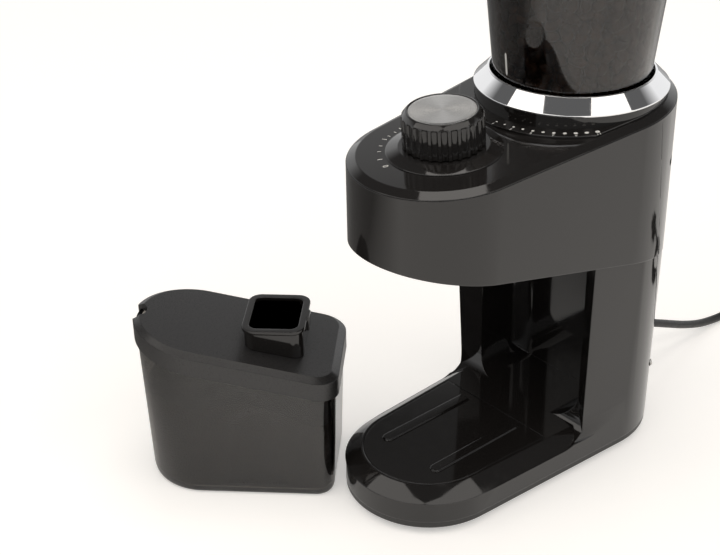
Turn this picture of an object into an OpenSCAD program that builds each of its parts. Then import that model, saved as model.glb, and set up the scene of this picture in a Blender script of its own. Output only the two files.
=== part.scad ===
// Conical burr coffee grinder with a C-shaped body, a lift-off bean hopper and a
// removable grounds container. Millimetres, +Z up, front towards -Y.
// The origin lies on the table, under the middle of the set; the burr axis is at
// [-set_x, -set_y] from it, and every piece is drawn about that axis first.

/* [Head] */
// Radius of the rounded front end of the head
head_front_r = 52.2; // [48:0.1:56]
// Radius of the rounded back end of the head
head_back_r = 62; // [60:0.1:64]
// Distance from the burr axis forward to the centre of the front arc
head_front_reach = 102.9; // [98:0.1:106]
// Distance from the burr axis forward to the centre of the back arc
head_back_reach = 1.8; // [0:0.1:3]
// Height of the deck's parting line at the burr axis
rim_height = 224; // [222:0.5:228]
// Rise of the deck per millimetre towards the back
deck_slope = 0.073; // [0.06:0.001:0.09]
// Height of the bevel round the deck
bevel_height = 3.1; // [2.5:0.1:4]
// Width of the bevel round the deck
bevel_width = 5.3; // [4:0.1:6]
// Height of the head's lower edge at the burr axis
underside_height = 137.2; // [135:0.1:138]
// Rise of the head's lower edge per millimetre towards the front
underside_slope = 0.205; // [0.18:0.005:0.23]

/* [Column and base] */
// Radius of the rounded front end of the base
base_front_r = 50; // [48:0.1:52]
// Radius of the rounded back end of the base
base_back_r = 56.2; // [55:0.1:58]
// Distance from the burr axis forward to the centre of the base's front arc
base_front_reach = 111.7; // [108:0.1:114]
// Distance from the burr axis back to the centre of the base's back arc
base_back_reach = 5.1; // [4:0.1:6]
// Height of the base's rim
base_rim_height = 21.5; // [20:0.1:24]
// Height of the tray surface that the container stands on
tray_height = 28.5; // [27.5:0.1:30]
// Wall thickness of the head
head_wall = 2.6; // [2:0.1:3]
// Wall thickness of the column
column_wall = 4.6; // [4.4:0.1:5]
// Wall left round the bay
bay_wall = 2.5; // [2:0.1:3]
// Distance from the burr axis forward to the column's front face
column_face = 25; // [22:0.5:28]
// Extra forward reach of the column's outer front edges
flange_reach = 10; // [8:0.5:12]
// Radius where the column flows into the base
bay_fillet = 24; // [20:0.5:30]
// Half width of the niche that takes the container's back
niche_half = 42; // [41:0.5:44]
// Distance from the burr axis back to the niche's rear wall
niche_back = 8; // [7:0.5:9]
// Radius of the niche's lower corners
niche_corner = 16; // [12:1:18]
// Depth of the hollow flank on each side of the column, at its front edge
flank_depth = 4.9; // [4:0.1:5.2]
// Distance behind the burr axis at which the flank runs out on the outer skin
flank_border = 2; // [0:0.5:6]
// Height of the rubber feet below the base plate
foot_height = 3.2; // [2.5:0.1:4]
// Radius of the rubber feet
foot_r = 7.5; // [6:0.5:9]

/* [Dials] */
// Radius of the timer knob
knob_r = 22.7; // [20:0.1:24]
// Height of the timer knob
knob_height = 20.5; // [18:0.5:23]
// Distance from the burr axis forward to the knob's axis
knob_reach = 100.8; // [98:0.1:103]
// Number of grip flutes on the knob
knob_flutes = 26; // [20:1:30]
// Radius of the brushed metal disc on the knob
disc_r = 18.7; // [16:0.1:19.5]
// Radius of the conical skirt under the knob
skirt_r = 32.3; // [30:0.1:34]
// Outer radius of the chrome ring at its lower edge
ring_r = 56.4; // [55.8:0.1:57]
// Outer radius of the chrome ring at its upper edge
ring_top_r = 48; // [47.8:0.1:50]
// Height of the chrome ring's upper edge
ring_top = 241.2; // [240:0.1:243]

/* [Hopper] */
// Outer radius of the hopper where it leaves the chrome ring
hopper_r = 45.6; // [44:0.1:46.4]
// Growth of the hopper's radius per millimetre of height
hopper_flare = 0.105; // [0.08:0.005:0.12]
// Height of the hopper's rim
hopper_top = 322; // [310:1:330]
// Wall thickness of the hopper
hopper_wall = 2.2; // [1.8:0.1:2.6]
// Height of the hopper's lid above the rim
lid_rise = 9; // [6:0.5:12]

/* [Container] */
// Half width of the grounds container at its rim
jar_half = 38.5; // [36:0.5:38.5]
// Length of the grounds container at its rim
jar_length = 122; // [114:1:124]
// Height of the grounds container at its back, without the lid
jar_height = 79; // [74:0.5:80]
// Wall thickness of the grounds container
jar_wall = 2.2; // [1.8:0.1:2.6]
// How far the walls lean in at the bottom
jar_taper = 3; // [2:0.1:4]
// Height of the lid's skirt
lid_skirt = 9; // [7:0.5:10]
// Height of the chute's mouth above the container's bottom
chute_top = 107.9; // [104:0.1:108.2]

// Where the container stands: beside the grinder or in its bay
container_place = "beside"; // [beside, in_bay]

/* [Burrs and drive] */
// Number of fine teeth on each burr
burr_teeth = 36; // [24:2:40]
// Number of feed flutes on the cone burr
burr_flutes = 6; // [5:1:8]
// Outer radius of the ring burr
ring_burr_r = 27; // [26:0.1:28]
// Radius of the cone burr's lower edge
cone_burr_r = 19; // [18:0.1:19.6]
// Radius of the burr shaft
shaft_r = 5; // [4.5:0.1:5.5]
// Module of the first gear stage
module_one = 1; // [0.95:0.01:1.02]
// Module of the second gear stage
module_two = 1.25; // [1.2:0.01:1.27]
// Teeth of the motor pinion
pinion_teeth = 12; // [12:1:13]
// Teeth of the idler's large gear
idler_teeth = 42; // [40:1:42]
// Teeth of the idler's small gear
idler_small_teeth = 12; // [12:1:13]
// Teeth of the drive gear
drive_teeth = 40; // [38:1:40]
// Radius of the motor
motor_r = 18.5; // [17:0.1:18.5]
// Length of the motor's can
motor_length = 58; // [50:1:64]

/* [Cord] */
// Diameter of the mains cord
cord_d = 5.6; // [5:0.1:6]

/* [Hidden] */

// What a fixed joint or a free space between two pieces leaves open
seat_gap = 0.3;
run_gap = 0.06;
burr_gap = 0.5;
fine = 128;
thin = 0.05;
// How far inside the tangent the straight sides of an outline run
join_inset = 0.012;
reach = 400;

deck_tilt = atan(deck_slope);
deck_height = rim_height + bevel_height;
plate_bottom = foot_height;
plate_top = plate_bottom + 5.6;
column_join = 150;

function underside(y) = underside_height - underside_slope * y;
function rim(y) = rim_height + deck_slope * y;
function deck(y) = deck_height + deck_slope * y;

// Seam of the rear cover: it leans back towards the table
seam_top = 8;
seam_lean = 0.127;
function seam(z) = seam_top + seam_lean * (rim_height - z);

// Tray
tray_front_r = 40.5;
tray_back_r = base_back_r - 9;
tray_plate = 2;
rail_offset = 21;
rail_width = 6.5;
rail_height = 1.2;
rail_front = 128;
rail_back = 60;
stand_height = tray_height + rail_height;

// Drive
idler_reach = module_one * (pinion_teeth + idler_teeth) / 2;
drive_reach = module_two * (idler_small_teeth + drive_teeth) / 2;
motor_y = 36.5;
idler_y = (drive_reach * drive_reach - idler_reach * idler_reach + motor_y * motor_y) / (2 * motor_y);
idler_x = sqrt(drive_reach * drive_reach - idler_y * idler_y);
pressure_angle = 25;
tooth_play = 0.12;
plate_thickness = 2.5;
gear_floor = 146.2;
level_one = gear_floor + plate_thickness + 1;
level_one_width = 6;
level_two = level_one + level_one_width + 1.2;
level_two_width = 8;
gear_ceiling = level_two + level_two_width + 1;
gearbox_wall = 2;
pinion_to_idler = atan2(idler_y - motor_y, idler_x);
idler_to_drive = atan2(-idler_y, -idler_x);
pinion_turn = pinion_to_idler;
idler_turn = pinion_to_idler + 180 + 180 / idler_teeth;
idler_small_turn = idler_to_drive;
drive_turn = idler_to_drive + 180 + 180 / drive_teeth;
motor_top = gear_floor;
motor_bottom = motor_top - motor_length;
motor_wall = 1.6;
idler_pin_r = 2.5;
bearing_r = 9.5;
bearing_height = 5;

// Grinding chamber, from its floor up
chamber_floor = gear_ceiling + plate_thickness;
chamber_base = 3;
sweeper_bottom = chamber_floor + chamber_base + bearing_height - 1;
sweeper_height = 5;
cone_bottom = sweeper_bottom + sweeper_height;
cone_height = 24;
cone_top_r = 9;
cone_top = cone_bottom + cone_height;
carrier_r = 31;
chamber_r = carrier_r + run_gap;
chamber_wall = 3;
ring_bottom = cone_bottom + 0.5;
ring_height = 20;
carrier_bottom = ring_bottom + 0.4;
chamber_top = 203.7;
carrier_top = chamber_top + 9;
carrier_step = chamber_top - 1.6;
chamber_flange_r = 40;
adjuster_bottom = chamber_top + seat_gap;
adjuster_top = adjuster_bottom + 16;
adjuster_roof = 5;
adjuster_bore = 30.1;
adjuster_r = 43;
throat_r = 17;
outlet_y = -32;
outlet_half_x = 11;
outlet_half_y = 8;
outlet_bottom = 139;

// Hopper
neck_r = ring_r - 1;
neck_inner = ring_top_r - 0.7;
neck_top = ring_top - 8.9;
opening_r = 50;
collar_height = 1.2;
collar_r = 64.5;
hopper_base_plate = 2;
hopper_bottom = adjuster_top + seat_gap + hopper_base_plate;
hopper_top_r = hopper_r + hopper_flare * (hopper_top - ring_top);
hopper_floor = 3;
funnel_height = 12;

// The grounds container, in its own place before it is put down
jar_front_y = -jar_length / 2 + jar_half;
jar_back_y = jar_length / 2;
jar_corner = 14;
lid_slope = underside_slope;
lid_lap = 1.2;
lid_plate = 2.4;
lid_top = 5;
lid_inside = 1.6;
function jar_rim(y) = jar_height + lid_slope * (jar_back_y - y);

chute_half_x = 21;
chute_half_y = 17.5;
chute_wall = 3;
beside_x = -93;
beside_y = -180;
beside_turn = -45;
niche_play = 2.5;
seated_y = niche_back - niche_play - jar_back_y;
chute_y = outlet_y - seated_y;

// The cord's gland, tilted down at the back
gland_z = 37;
gland_r = 6.4;
gland_tilt = 9;
relief_end = 21;

// The set stands with the middle of its table area at the origin
function turned_x(x, y) = beside_x + x * cos(beside_turn) - y * sin(beside_turn);
function turned_y(x, y) = beside_y + x * sin(beside_turn) + y * cos(beside_turn);
lid_half = jar_half + lid_lap;
set_left = turned_x(0, jar_front_y) - lid_half;
set_front = turned_y(0, jar_front_y) - lid_half;
set_right = head_back_r;
set_back = base_back_reach + base_back_r + relief_end * cos(gland_tilt) + (cord_d / 2 + 1.1) * sin(gland_tilt);
set_x = (set_left + set_right) / 2;
set_y = (set_front + set_back) / 2;

flange_x = 56.5;
flank_low_x = 52;
flank_lean = atan((flange_x - flank_low_x) / (underside_height - tray_height));
flank_fillet = 16;
mouth_back = 38;
tongue_half = 36;
tongue_back = 21.5;
cover_lip = 1.5;
deck_lap = 4;
vent_count = 7;
vent_bottom = 62;
vent_pitch = 6;
vent_gap = 2.4;
vent_half = 15;
boss_r = 4.5;
base_spots = [[0, -149], [38, -104], [-38, -104], [41, -48], [-41, -48]];
cover_spots = [[52, 190], [-52, 190], [46, 46], [-46, 46]];
ear_spots = [[36, -9], [-36, -11], [-37, 7]];
chamber_ears = [40, 140, 215, 325];
chamber_ear_reach = 38;
foot_spots = [[30, -126], [-30, -126], [36, 22], [-36, 22]];
screw_r = 1.5;
board_z = 170;
bushing_r = 5;
timer_shaft_r = 3;
case_depth = 26;
skirt_height = 3;
motor_boss_r = 7;
motor_shaft_r = 2.5;
magnet_bore = 14.6;
rotor_r = 14;
outlet_window = 8;
key_width = 5;
key_slot_reach = 31;
key_slot_depth = 4;
throat_low_r = 21.5;
burr_screw_reach = 24.4;
burr_screw_turns = [15, 135, 255];
skirt_bore = 10;
knob_bottom = skirt_height + seat_gap;
outlet_wall = 2;
spout_front = 46.3;

// Middle line of the cord from inside the gland to the coil, then from the coil to the plug
cord_sides = 12;
cord_lie = cord_d / 2 + 0.1;
coil_x = 60;
coil_y = 250;
coil_r = 31.5;
plug_x = 116;
plug_y = 292;
plug_lie = 8.6;
cord_way = [
    [0, 38, 40.69], [0, 50, 38.79], [0, 61.3, 37], [0, 73, 35.15], [0, 84, 33.4], [0.2, 94, 30.6], [0.6, 104, 26.6],
    [0.8, 118, 20.4],
    [0.8, 134, 13.4], [0.6, 154, 6.4], [0.8, 172, cord_lie + 0.3], [2.6, 190, cord_lie], [8.5, 208, cord_lie],
    [18, 224, cord_lie], [25.6, 238, cord_lie], [coil_x - coil_r, coil_y, cord_lie]
];
cord_tail = [
    [coil_x, coil_y + coil_r, cord_lie], [76, 282.4, cord_lie], [90, 286.4, cord_lie + 1],
    [103, 290.6, cord_lie + 4], [plug_x, plug_y, plug_lie]
];
shoulder_inset = 3.2;
shoulder_rise = 3;

// ---- frames ----

module place() translate([-set_x, -set_y, 0]) children();

// A frame square to the deck, with its origin on the deck's top surface
module on_deck(y) place() translate([0, y, deck(y)]) rotate([deck_tilt, 0, 0]) children();

// The container's own frame: its origin is the middle of its bottom, back towards +Y
module container_frame() {
    if (container_place == "in_bay")
        place() translate([0, seated_y, stand_height]) children();
    else
        place() translate([beside_x, beside_y, 0]) rotate([0, 0, beside_turn]) children();
}

// ---- outlines and slabs ----

// Two arcs joined by their common tangents, seen from above
module stadium(front_r, front_reach, back_r, back_y, inset) {
    lean = asin((back_r - front_r) / (back_y + front_reach));
    fr = front_r - inset - join_inset;
    br = back_r - inset - join_inset;
    translate([0, -front_reach]) circle(front_r - inset, $fn = fine);
    translate([0, back_y]) circle(back_r - inset, $fn = fine);
    polygon([
        [fr * cos(lean), -front_reach - fr * sin(lean)], [br * cos(lean), back_y - br * sin(lean)],
        [-br * cos(lean), back_y - br * sin(lean)], [-fr * cos(lean), -front_reach - fr * sin(lean)]
    ]);
}
module head_plan(inset = 0) stadium(head_front_r, head_front_reach, head_back_r, -head_back_reach, inset);
module base_plan(inset = 0) stadium(base_front_r, base_front_reach, base_back_r, base_back_reach, inset);
module tray_plan(inset = 0) stadium(tray_front_r, base_front_reach, tray_back_r, base_back_reach, inset);

// A profile drawn in Y and Z, drawn out along X
module along_x(width) rotate([90, 0, 90]) linear_extrude(width, center = true) children();

module slice(z) translate([0, 0, z]) linear_extrude(thin) children();

// A flat slab between two parallel slopes: low and high are its faces at y = 0
module slab(low, high, slope)
    along_x(2 * reach) polygon([
        [-reach, low - slope * reach], [reach, low + slope * reach],
        [reach, high + slope * reach], [-reach, high - slope * reach]
    ]);
module under_slab(low, high) slab(underside_height + low, underside_height + high, -underside_slope);
module deck_slab(low, high) slab(deck_height + low, deck_height + high, deck_slope);

module rounded_box(half_x, half_y, r) {
    translate([-half_x + r, -half_y]) square([2 * (half_x - r), 2 * half_y]);
    translate([-half_x, -half_y + r]) square([2 * half_x, 2 * (half_y - r)]);
    for (sx = [-1, 1], sy = [-1, 1]) translate([sx * (half_x - r), sy * (half_y - r)]) circle(r, $fn = 48);
}

module ring(outer, inner, low, high)
    translate([0, 0, low]) difference() {
        cylinder(h = high - low, r = outer, $fn = fine);
        translate([0, 0, -1]) cylinder(h = high - low + 2, r = inner, $fn = fine);
    }

module screw(length, r, head_r, head_height) {
    cylinder(h = length, r = r, $fn = 24);
    translate([0, 0, -head_height]) difference() {
        cylinder(h = head_height, r = head_r, $fn = 32);
        translate([0, 0, -1]) rounded_cross(head_r * 0.6, 0.7, 1 + head_height / 2);
    }
}
module rounded_cross(arm, width, depth)
    for (a = [0, 90]) rotate([0, 0, a]) translate([-arm, -width / 2, 0]) cube([2 * arm, width, depth]);

// ---- housing ----

// The bay between head and base, seen from the side; grow widens it all round
module bay(grow = 0) {
    r = bay_fillet + grow;
    low = base_rim_height - grow;
    face = -column_face + grow;
    along_x(2 * reach) {
        difference() {
            polygon([
                [-reach, low], [face, low], [face, underside(face) + 0.9 * grow],
                [-reach, underside(-reach) + 0.9 * grow]
            ]);
            translate([face - r, low]) square(r + 1);
        }
        translate([face - r, low + r]) circle(r, $fn = fine);
    }
}

// Plan of the bay's rear limit: the column's front edges stand further forward
module bay_plan() polygon([
    [-reach, -reach], [reach, -reach], [reach, -column_face - flange_reach],
    [flange_x, -column_face - flange_reach], [niche_half, -column_face + thin],
    [-niche_half, -column_face + thin], [-flange_x, -column_face - flange_reach],
    [-reach, -column_face - flange_reach]
]);

module niche(grow = 0) {
    half = niche_half + grow;
    r = niche_corner + grow;
    low = tray_height - grow;
    intersection() {
        translate([0, niche_back + grow, 0]) rotate([90, 0, 0]) linear_extrude(reach) {
            translate([-half, low + r]) square([2 * half, reach]);
            translate([r - half, low]) square([2 * (half - r), r + 1]);
            for (s = [-1, 1]) translate([s * (half - r), low + r]) circle(r, $fn = fine);
        }
        linear_extrude(reach) {
            back = niche_back + grow;
            translate([-half, -base_front_reach]) square([2 * half, base_front_reach + back - r]);
            translate([r - half, -base_front_reach]) square([2 * (half - r), base_front_reach + back]);
            for (s = [-1, 1]) translate([s * (half - r), back - r]) circle(r, $fn = fine);
        }
        under_slab(-reach, 0.8 * grow);
    }
}

// The hollow flanks of the column: cuts that flare outwards and rearwards until they run out on the
// skin, with a fillet over the base that opens as they flare
function flank_front(x) = x * (flank_border + column_face + flange_reach) / flank_depth - column_face - flange_reach;
module flank_slice(x) translate([x, 0, 0]) rotate([90, 0, 90]) linear_extrude(thin) {
    r = flank_fillet + 1.6 * x;
    floor = -4 - 0.6 * x;
    translate([flank_front(x) - r, floor + r]) circle(r, $fn = 64);
    translate([-reach, floor]) square(1);
    translate([-reach, reach / 2]) square([reach + flank_front(x), 1]);
}
module flanks() for (side = [0, 1]) mirror([side, 0, 0])
    translate([flank_low_x, 0, tray_height]) rotate([0, flank_lean, 0]) hull() {
        flank_slice(-1.5);
        flank_slice(10);
    }

module shoulder() hull() {
    slice(base_rim_height - thin) base_plan();
    slice(base_rim_height + shoulder_rise) base_plan(shoulder_inset);
    slice(tray_height - thin) tray_plan();
}

module outer_body() {
    difference() {
        hull() {
            slice(plate_top) base_plan();
            slice(column_join) head_plan();
        }
        intersection() {
            bay();
            linear_extrude(reach) bay_plan();
        }
        flanks();
    }
    intersection() {
        linear_extrude(reach) head_plan();
        slab(underside_height, reach, -underside_slope);
        slab(-reach, rim_height, deck_slope);
    }
    shoulder();
}

// The mouth in the head's underside, with a tongue back to the outlet
module mouth_plan(inset) intersection() {
    head_plan(inset);
    union() {
        translate([-reach, -reach]) square([2 * reach, reach - mouth_back - inset + head_wall]);
        translate([inset - head_wall - tongue_half, -reach])
            square([2 * (tongue_half + head_wall - inset), reach - tongue_back - inset + head_wall]);
    }
}

module inner_space() {
    // head
    intersection() {
        linear_extrude(reach) head_plan(head_wall);
        slab(underside_height + bay_wall, reach, -underside_slope);
    }
    // mouth under the front of the head, closed by the head cover
    intersection() {
        linear_extrude(reach) mouth_plan(head_wall);
        under_slab(-5, bay_wall + 1);
    }
    // column
    difference() {
        hull() {
            slice(plate_top - 1) base_plan(column_wall);
            slice(column_join) head_plan(column_wall);
        }
        bay(bay_wall);
        niche(bay_wall);
    }
    // base
    translate([0, 0, plate_top - 1]) linear_extrude(base_rim_height - bay_wall - plate_top + 1) base_plan(column_wall - 0.4);
}

module shell() difference() {
    outer_body();
    inner_space();
    niche();
    // seat of the tray plate
    translate([0, 0, tray_height - tray_plate]) linear_extrude(reach / 10) intersection() {
        tray_plan(1.5);
        translate([-reach, -reach]) square([2 * reach, reach - rail_back + 6]);
    }
}

// Everything behind the rear cover's seam
module behind_seam(gap = 0) along_x(2 * reach) polygon([
    [seam(0) + gap, -1], [reach, -1], [reach, reach], [seam(reach) + gap, reach]
]);

// Posts inside the front shell that take the base, cover and gearbox screws
module posts() {
    for (p = base_spots) translate([p[0], p[1], plate_top]) cylinder(h = base_rim_height - plate_top - 1, r = boss_r, $fn = 48);
    for (p = ear_spots) translate([p[0], p[1], underside(p[1]) + 1]) cylinder(h = gear_floor - underside(p[1]) - 1, r = boss_r, $fn = 48);
    intersection() {
        for (p = cover_spots) translate([p[0], seam(p[1]) + 2, p[1]]) {
            rotate([90, 0, 0]) cylinder(h = 14, r = boss_r, $fn = 48);
            translate([p[0] > 0 ? 0 : -20, -14, -1.5]) cube([20, 14, 3]);
        }
        inside_skin();
    }
}
// Everything a little way inside the outer skin
module inside_skin() hull() {
    slice(plate_top) base_plan(1);
    slice(column_join) head_plan(1);
    slice(rim_height - 8) head_plan(1);
}
module post_holes() {
    for (p = base_spots) translate([p[0], p[1], plate_top - 1]) cylinder(h = 9, r = screw_r, $fn = 24);
    for (p = ear_spots) translate([p[0], p[1], gear_floor - 5]) cylinder(h = 6, r = screw_r, $fn = 24);
    for (p = cover_spots) translate([p[0], seam(p[1]) + 2, p[1]]) rotate([90, 0, 0]) cylinder(h = 11, r = screw_r, $fn = 24);
}

module main_housing() color("#1c1a19") place() difference() {
    union() {
        shell();
        posts();
    }
    behind_seam();
    post_holes();
}

module rear_cover() color("#1c1a19") place() difference() {
    union() {
        intersection() {
            shell();
            behind_seam();
        }
        intersection() {
            for (p = cover_spots) translate([p[0], seam(p[1]) + 0.6, p[1]]) rotate([-90, 0, 0]) cylinder(h = 60, r = boss_r, $fn = 48);
            inside_skin();
            behind_seam(seat_gap);
        }
    }
    for (p = cover_spots) translate([p[0], seam(p[1]) - 1, p[1]]) rotate([-90, 0, 0]) {
        cylinder(h = 60, r = screw_r + 0.1, $fn = 24);
        translate([0, 0, 5]) cylinder(h = 60, r = 3.2, $fn = 32);
    }
    at_gland() cylinder(h = 30, r = gland_r, center = true, $fn = 48);
    for (i = [0 : vent_count - 1])
        translate([-vent_half, base_back_reach + base_back_r - 20, vent_bottom + i * vent_pitch])
            cube([2 * vent_half, 40, vent_gap]);
}

// The cord's way out through the rear cover: +Z points out of the grinder
module at_gland() translate([0, base_back_reach + base_back_r, gland_z]) rotate([-90 - gland_tilt, 0, 0]) children();

module base_plate() color("#24211f") place() difference() {
    union() {
        hull() {
            slice(plate_bottom) base_plan(2.4);
            slice(plate_bottom + 2.2) base_plan(0.5);
        }
        translate([0, 0, plate_bottom + 2]) linear_extrude(plate_top - plate_bottom - 2) base_plan(0.35);
    }
    for (p = base_spots) translate([p[0], p[1], plate_bottom - 1]) {
        cylinder(h = 10, r = screw_r + 0.2, $fn = 24);
        cylinder(h = 3.2, r = 3.4, $fn = 32);
    }
    for (p = foot_spots) translate([p[0], p[1], plate_bottom - 1]) cylinder(h = 1.8, r = foot_r, $fn = 64);
}

module rubber_feet() color("#2b2927") place() for (p = foot_spots) translate([p[0], p[1], 0]) {
    cylinder(h = 1, r1 = foot_r - 1, r2 = foot_r - 0.4, $fn = 64);
    translate([0, 0, 1]) cylinder(h = foot_height - 1 + 0.8, r = foot_r - 0.4, $fn = 64);
}

module base_screws() color("#8d8b88") place() for (p = base_spots) translate([p[0], p[1], plate_bottom + 2.2])
    screw(length = 10, r = screw_r, head_r = 3, head_height = 1.8);

module cover_screws() color("#8d8b88") place() for (p = cover_spots)
    translate([p[0], seam(p[1]) + 4, p[1]]) rotate([90, 0, 0]) screw(length = 11, r = screw_r, head_r = 3, head_height = 1.8);

module container_tray() color("#181615") place() {
    translate([0, 0, tray_height - tray_plate]) linear_extrude(tray_plate) intersection() {
        tray_plan(1.8);
        translate([-reach, -reach]) square([2 * reach, reach - rail_back + 5.7]);
    }
    for (s = [-1, 1]) translate([s * rail_offset, 0, tray_height - thin]) linear_extrude(rail_height + thin) {
        translate([-rail_width / 2, -rail_front + rail_width / 2])
            square([rail_width, rail_front - rail_back - rail_width / 2]);
        translate([0, -rail_front + rail_width / 2]) circle(rail_width / 2, $fn = 48);
    }
}

// Lip that hangs below the head's lower edge, with a bevel round it
module head_cover() color("#171514") place() difference() {
    union() {
        intersection() {
            linear_extrude(reach) mouth_plan(head_wall + seat_gap);
            under_slab(-0.2, bay_wall);
        }
        hull() {
            intersection() {
                linear_extrude(reach) mouth_plan(head_wall + seat_gap + 1.4);
                under_slab(-cover_lip, -cover_lip + thin);
            }
            intersection() {
                linear_extrude(reach) mouth_plan(head_wall + seat_gap);
                under_slab(-0.2, -0.2 + thin);
            }
        }
        for (s = [-1, 1], y = [-66, -118]) translate([s * 22, y, underside(y) + 1])
            cylinder(h = board_z - underside(y) - 1, r = 3.5, $fn = 48);
    }
    translate([0, outlet_y, outlet_bottom]) linear_extrude(20)
        square(2 * [outlet_half_x + outlet_wall + seat_gap, outlet_half_y + outlet_wall + seat_gap], center = true);
    for (s = [-1, 1], y = [-66, -118]) translate([s * 22, y, board_z - 6]) cylinder(h = 7, r = 1, $fn = 24);
}

module top_deck() color("#211f1d") place() difference() {
    union() {
        hull() {
            intersection() {
                linear_extrude(reach) head_plan(0.35);
                slab(rim_height, rim_height + 0.4, deck_slope);
            }
            intersection() {
                linear_extrude(reach) head_plan(bevel_width);
                deck_slab(-0.3, 0);
            }
        }
        intersection() {
            linear_extrude(reach) difference() {
                head_plan(head_wall + seat_gap);
                head_plan(head_wall + seat_gap + 2);
            }
            slab(rim_height - deck_lap, rim_height + 1, deck_slope);
        }
    }
    cylinder(h = reach, r = opening_r, $fn = fine);
    translate([0, -knob_reach, deck(-knob_reach)]) rotate([deck_tilt, 0, 0])
        cylinder(h = 20, r = bushing_r + seat_gap, center = true, $fn = 64);
}

module scale_collar() color("#1b1918") place() intersection() {
    linear_extrude(reach) difference() {
        intersection() {
            circle(collar_r, $fn = fine);
            head_plan(bevel_width + 1);
        }
        circle(neck_r + 0.05, $fn = fine);
    }
    deck_slab(0, collar_height);
}

module hopper_neck() color("#141312") place() intersection() {
    ring(neck_r, opening_r, 200, neck_top);
    deck_slab(0, reach);
}

module chrome_ring() color("#d9dad8") place() rotate_extrude($fn = fine) polygon([
    [ring_r - 2.2, neck_top], [ring_r - 0.3, neck_top], [ring_r, neck_top + 0.4], [ring_r, neck_top + 0.9],
    [ring_top_r + 0.3, ring_top - 0.2], [ring_top_r, ring_top], [neck_inner, ring_top],
    [neck_inner, ring_top - 1.6], [ring_r - 2.2, neck_top + 1.2]
]);

module knob_skirt() color("#1a1817") on_deck(-knob_reach) rotate_extrude($fn = fine) polygon([
    [skirt_bore, 0], [skirt_r, 0], [skirt_r, 0.5], [knob_r + 2.4, skirt_height], [skirt_bore, skirt_height]
]);

// ---- timer ----

module timer_case() color("#e4e0d6") on_deck(-knob_reach) difference() {
    union() {
        translate([0, 0, -bevel_height - case_depth]) linear_extrude(case_depth) rounded_box(21, 21, 4);
        translate([0, 0, -bevel_height - 1]) cylinder(h = bevel_height + 4, r = bushing_r, $fn = 64);
    }
    translate([0, 0, -20]) cylinder(h = 40, r = timer_shaft_r + run_gap, $fn = 64);
}
module timer_nut() color("#b9b6ae") on_deck(-knob_reach) difference() {
    cylinder(h = 2.4, r = 8.4, $fn = 6);
    translate([0, 0, -1]) cylinder(h = 5, r = bushing_r, $fn = 64);
}
module timer_shaft() color("#c8c6c0") on_deck(-knob_reach) difference() {
    translate([0, 0, -18]) cylinder(h = 34, r = timer_shaft_r, $fn = 64);
    translate([1.8, -5, 4]) cube([5, 10, 20]);
}
module timer_knob() color("#151312") on_deck(-knob_reach) difference() {
    translate([0, 0, knob_bottom]) cylinder(h = knob_height, r = knob_r, $fn = fine);
    for (i = [0 : knob_flutes - 1]) rotate([0, 0, (i + 0.5) * 360 / knob_flutes])
        translate([knob_r + 0.75, 0, knob_bottom + 2.4]) cylinder(h = knob_height, r = 1.75, $fn = 24);
    translate([0, 0, knob_bottom + knob_height - 1.2]) cylinder(h = 5, r = disc_r + 0.05, $fn = fine);
    translate([0, 0, knob_bottom - 1]) difference() {
        cylinder(h = knob_height - 5, r = knob_r - 4.2, $fn = fine);
        cylinder(h = knob_height, r = timer_shaft_r + 2.6, $fn = 64);
    }
    difference() {
        cylinder(h = 16.2, r = timer_shaft_r + 0.05, $fn = 64);
        translate([1.9, -5, -1]) cube([5, 10, 20]);
    }
    translate([0, 0, -1]) cylinder(h = knob_bottom + 2.2, r = skirt_bore, $fn = 64);
}
module knob_disc() color("#c9c7c2") on_deck(-knob_reach) translate([0, 0, knob_bottom + knob_height - 1.2]) {
    cylinder(h = 0.7, r = disc_r, $fn = fine);
    translate([0, 0, 0.7]) cylinder(h = 0.3, r1 = disc_r, r2 = disc_r - 0.3, $fn = fine);
}

module control_board() color("#2f5a37") place() difference() {
    translate([0, -92, board_z]) linear_extrude(1.6) rounded_box(28, 32, 2);
    for (s = [-1, 1], y = [-66, -118]) translate([s * 22, y, board_z - 1]) cylinder(h = 4, r = 1.2, $fn = 24);
}
module board_parts() color("#33302d") place() translate([0, 0, board_z + 1.6]) {
    for (s = [-1, 1], y = [-66, -118]) translate([s * 22, y, 0]) {
        cylinder(h = 1.5, r = 2.2, $fn = 32);
        translate([0, 0, -6]) cylinder(h = 6, r = 1, $fn = 24);
    }
    translate([-20, -108, 0]) cube([15, 19, 13]);
    translate([4, -104, 0]) cylinder(h = 14, r = 6.3, $fn = 48);
    translate([14, -80, 0]) cylinder(h = 11, r = 4, $fn = 48);
    translate([-16, -84, 0]) cube([22, 7, 9]);
    translate([12, -112, 0]) cube([12, 8, 6]);
    translate([-4, -74, 0]) cube([9, 6, 5]);
}

// ---- cord ----

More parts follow.
